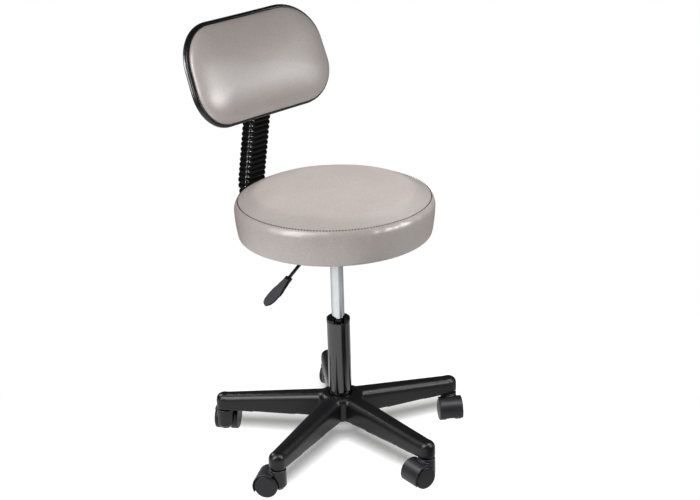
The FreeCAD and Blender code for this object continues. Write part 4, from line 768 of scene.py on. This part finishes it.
def makeBellows(look):
    bm = bmesh.new()
    width, depth = look["halfWidth"], look["halfDepth"]
    corners = [bm.verts.new(spot) for spot in ((-width, -depth, 0), (width, -depth, 0), (width, depth, 0),
                                               (-width, depth, 0))]
    bm.faces.new(corners)
    bmesh.ops.bevel(bm, geom=corners, offset=look["corner"], offset_type="OFFSET", segments=look["cornerSteps"],
                    profile=0.5, affect="VERTICES", material=-1)
    longOnes = [edge for edge in bm.edges if edge.calc_length() > look["longSide"]]
    bmesh.ops.subdivide_edges(bm, edges=longOnes, cuts=look["sideCuts"])
    bmesh.ops.delete(bm, geom=list(bm.faces), context="FACES_KEEP_BOUNDARY")
    edges = list(bm.edges)
    shape = {}
    for vert in list(bm.verts):
        # a fold stands out by as much on every side, and rounds the corners
        past = Vector((max(abs(vert.co.x) - width + look["corner"], 0),
                       max(abs(vert.co.y) - depth + look["corner"], 0), 0))
        past.x, past.y = math.copysign(past.x, vert.co.x), math.copysign(past.y, vert.co.y)
        shape[vert] = (vert.co.copy(), past.normalized())
    arc = look["bendRadius"] * math.radians(look["lean"] - look["startAngle"])
    length = arc + look["straight"]
    pitch = length / look["ribs"]

    def section(distance):
        angle = math.radians(look["startAngle"]) + min(distance, arc) / look["bendRadius"]
        past = max(distance - arc, 0.0)
        y = look["bendCentre"][0] + look["bendRadius"] * math.cos(angle) - past * math.sin(angle)
        z = look["bendCentre"][1] + look["bendRadius"] * math.sin(angle) + past * math.cos(angle)
        return Matrix.Translation((0, y, z)) @ Matrix.Rotation(angle, 4, "X")

    def swell(share):
        # a round fold with a narrow groove beside it
        side, top = look["foldCurve"]
        return look["fold"] * max(0.0, 1 - abs((share - 0.5) / look["foldHalf"]) ** side) ** top

    start = section(0.0)
    for vert in shape:
        vert.co = start @ shape[vert][0]
    for step in range(1, look["ribs"] * look["ringsPerRib"] + 1):
        distance = step * pitch / look["ringsPerRib"]
        place = section(distance)
        out = swell(step % look["ringsPerRib"] / look["ringsPerRib"])
        edges, pairs = drawOn(bm, edges)
        for vert, before in pairs:
            shape[vert] = shape[before]
            spot, outward = shape[before]
            vert.co = place @ (spot + outward * out)
    # the ends turn in to grip the bar
    for rim in (edges, [edge for edge in openEdges(bm) if edge not in set(edges)]):
        rim, pairs = drawOn(bm, rim)
        for vert, before in pairs:
            spot = shape[before][0]
            shape[vert] = shape[before]
            middle = section(0.0 if (vert.co - start.translation).length < look["endReach"] else length)
            vert.co = middle @ Vector((spot.x * look["gripWidth"] / width, spot.y * look["gripDepth"] / depth, 0))
    piece = pieceFrom(bm, "bellows_sleeve", bellowsRubber, sharpAngle=70)
    subdivided(piece, levels=1)
    piece.data.shade_smooth()
    dress(piece, "back_bar", "rubber", "bellows")


makeBellows(bellowsLook)
print("bellows folded")


# Mouldings that start from a solid: a copy, remeshed finely and eased so that its edges and inner corners round off

mouldLook = {"base_star": {"voxel": 0.0022, "ease": 14, "finish": nylon, "slot": "nylon", "body": "base"}}
for number in range(1, 6):
    mouldLook[f"caster_hood_{number}"] = {"voxel": 0.0011, "ease": 4, "finish": casterNylon, "slot": "nylon",
                                          "body": f"caster_{number}"}


def makeMoulding(node, look):
    bm = bmesh.new()
    bm.from_mesh(nodes[node].data)
    bmesh.ops.remove_doubles(bm, verts=bm.verts, dist=weldGap)
    piece = pieceFrom(bm, node + "_moulding", look["finish"], sharpAngle=180)
    remesh = piece.modifiers.new("even", "REMESH")
    remesh.mode = "VOXEL"
    remesh.voxel_size = look["voxel"]
    smooth = piece.modifiers.new("ease", "SMOOTH")
    smooth.factor = easeFactor
    smooth.iterations = look["ease"]
    applyModifiers(piece)
    piece.data.materials.clear()
    piece.data.materials.append(look["finish"])
    piece.data.shade_smooth()
    dress(piece, look["body"], look["slot"], node)


for node, look in mouldLook.items():
    makeMoulding(node, look)
print("mouldings eased:", len(mouldLook))


# Pressed, drawn and turned pieces: a copy of the solid with its sharp edges broken

edgeLook = {"saddle": 0.0008, "seat_plate": 0.0006, "bar_guide": 0.0010, "back_bar": 0.0012, "back_bracket": 0.0008,
            "taper_socket": 0.0008, "depth_knob": 0.0012, "height_knob": 0.0012, "column_tube": 0.0004,
            "guide_bush": 0.0006, "seat_screws": 0.0005, "back_screws": 0.0005}
edgeShape = {"flat": 1.0, "sharp": 40.0, "segments": 2, "smooth": 30}
bodyOf = {name: body for body, names in frame["record"]["behaviour"]["bodies"].items() for name in names}
slotOf = {subpart["node"]: subpart["material_slot"] for subpart in frame["record"]["subparts"]}


def breakEdges(node, width):
    bm = bmesh.new()
    bm.from_mesh(nodes[node].data)
    bmesh.ops.remove_doubles(bm, verts=bm.verts, dist=weldGap)
    bmesh.ops.dissolve_limit(bm, angle_limit=math.radians(edgeShape["flat"]), verts=bm.verts, edges=bm.edges)
    limit = math.radians(edgeShape["sharp"])
    sharp = [edge for edge in bm.edges if edge.is_manifold and edge.calc_face_angle(0) > limit]
    bmesh.ops.bevel(bm, geom=sharp, offset=width, offset_type="OFFSET", segments=edgeShape["segments"], profile=0.5,
                    affect="EDGES", material=-1, clamp_overlap=True)
    piece = pieceFrom(bm, node + "_finished", cadFinish[slotOf[node]], edgeShape["smooth"])
    # the broken edge takes the shading of the large faces beside it, so that these mirror as plain surfaces
    shading = piece.modifiers.new("shading", "WEIGHTED_NORMAL")
    shading.keep_sharp = True
    applyModifiers(piece)
    dress(piece, bodyOf[node], slotOf[node], node)


for node, width in edgeLook.items():
    breakEdges(node, width)
print("edges broken:", len(edgeLook))


# Lever paddle: a flat blade over a tapering socket, black, with a grained grey panel on top whose colour paints the
# sheen of an overhead light on the black top

paddleLook = {"start": (-0.14043, 0, 0.43371), "slope": 31.0, "length": 0.082, "along": 28, "across": 8,
              "widths": ((0.0, 0.0070), (0.12, 0.0074), (0.30, 0.0102), (0.50, 0.0138), (0.66, 0.0148),
                         (0.82, 0.0140), (0.92, 0.0110), (0.975, 0.0066), (1.0, 0.0022)),
              "thickness": ((0.0, 0.0125), (0.22, 0.0122), (0.55, 0.0095), (0.68, 0.0052), (1.0, 0.0040)),
              "topLift": 0.0035, "round": 0.0007, "gripFrom": 0.10, "gripEdge": 0.0011, "gripLift": 0.0004,
              "belly": 0.45, "leastWidth": 0.0004, "sharp": 40.0, "smooth": 60}


def between(table, share):
    for (low, lowSize), (high, highSize) in zip(table, table[1:]):
        if share <= high:
            step = (share - low) / (high - low)
            return lowSize + (highSize - lowSize) * step * step * (3 - 2 * step)
    return table[-1][1]


def makeBlade(look, name, finish, first, margin, top, depth):
    # a top of the paddle's outline, drawn in by a margin, over an underside whose depth follows a table
    bm = bmesh.new()
    made = bmesh.ops.create_grid(bm, x_segments=look["along"], y_segments=look["across"], size=1.0)
    under = bmesh.ops.extrude_face_region(bm, geom=list(bm.faces))["geom"]
    for vert in under:
        if isinstance(vert, bmesh.types.BMVert):
            share = first + (1 - first) * (vert.co.x + 1) / 2
            vert.co.z = top - depth(share) * (1 - look["belly"] * vert.co.y ** 2)
    for vert in made["verts"]:
        vert.co.z = top
    for vert in bm.verts:
        share = first + (1 - first) * (vert.co.x + 1) / 2
        vert.co.x = share * look["length"] - margin * (vert.co.x + 1) / 2
        vert.co.y *= max(between(look["widths"], share) - margin, look["leastWidth"])
    bmesh.ops.recalc_face_normals(bm, faces=bm.faces)
    rim = [edge for edge in bm.edges if edge.calc_face_angle(0) > math.radians(look["sharp"])]
    rounding = look["round"] if margin == 0 else look["gripLift"] / 2
    bmesh.ops.bevel(bm, geom=rim, offset=rounding, offset_type="OFFSET", segments=2, profile=0.5, affect="EDGES",
                    material=-1, clamp_overlap=True)
    slope = math.radians(look["slope"])
    place = Matrix.Translation(look["start"]) @ Matrix.Rotation(math.pi, 4, "Z") @ Matrix.Rotation(slope, 4, "Y")
    bmesh.ops.transform(bm, matrix=place, verts=bm.verts)
    return pieceFrom(bm, name, finish, look["smooth"])


blade = makeBlade(paddleLook, "lever_paddle_blade", bushPlastic, first=0.0, margin=0.0, top=paddleLook["topLift"],
                  depth=lambda share: between(paddleLook["thickness"], share))
dress(blade, "lever", "lever_plastic", "lever_paddle")
# painted sheen: the grey panel on the blade's top stands in for the reflection of an overhead light on black plastic
grip = makeBlade(paddleLook, "lever_paddle_grip", paddleSheenGrey, first=paddleLook["gripFrom"],
                 margin=paddleLook["gripEdge"], top=paddleLook["topLift"] + paddleLook["gripLift"],
                 depth=lambda share: 2 * paddleLook["gripLift"])
dress(grip, "lever", "lever_plastic")
print("lever paddle shaped")


# The stool's lamps reach every piece but the floor

for item in scene.objects:
    if item.type == "MESH" and item.name not in receivers["floor"].objects:
        receivers["stool"].objects.link(item)
    for start, groups in groupOf.items():
        if item.name.startswith(start):
            for group in groups:
                receivers[group].objects.link(item)
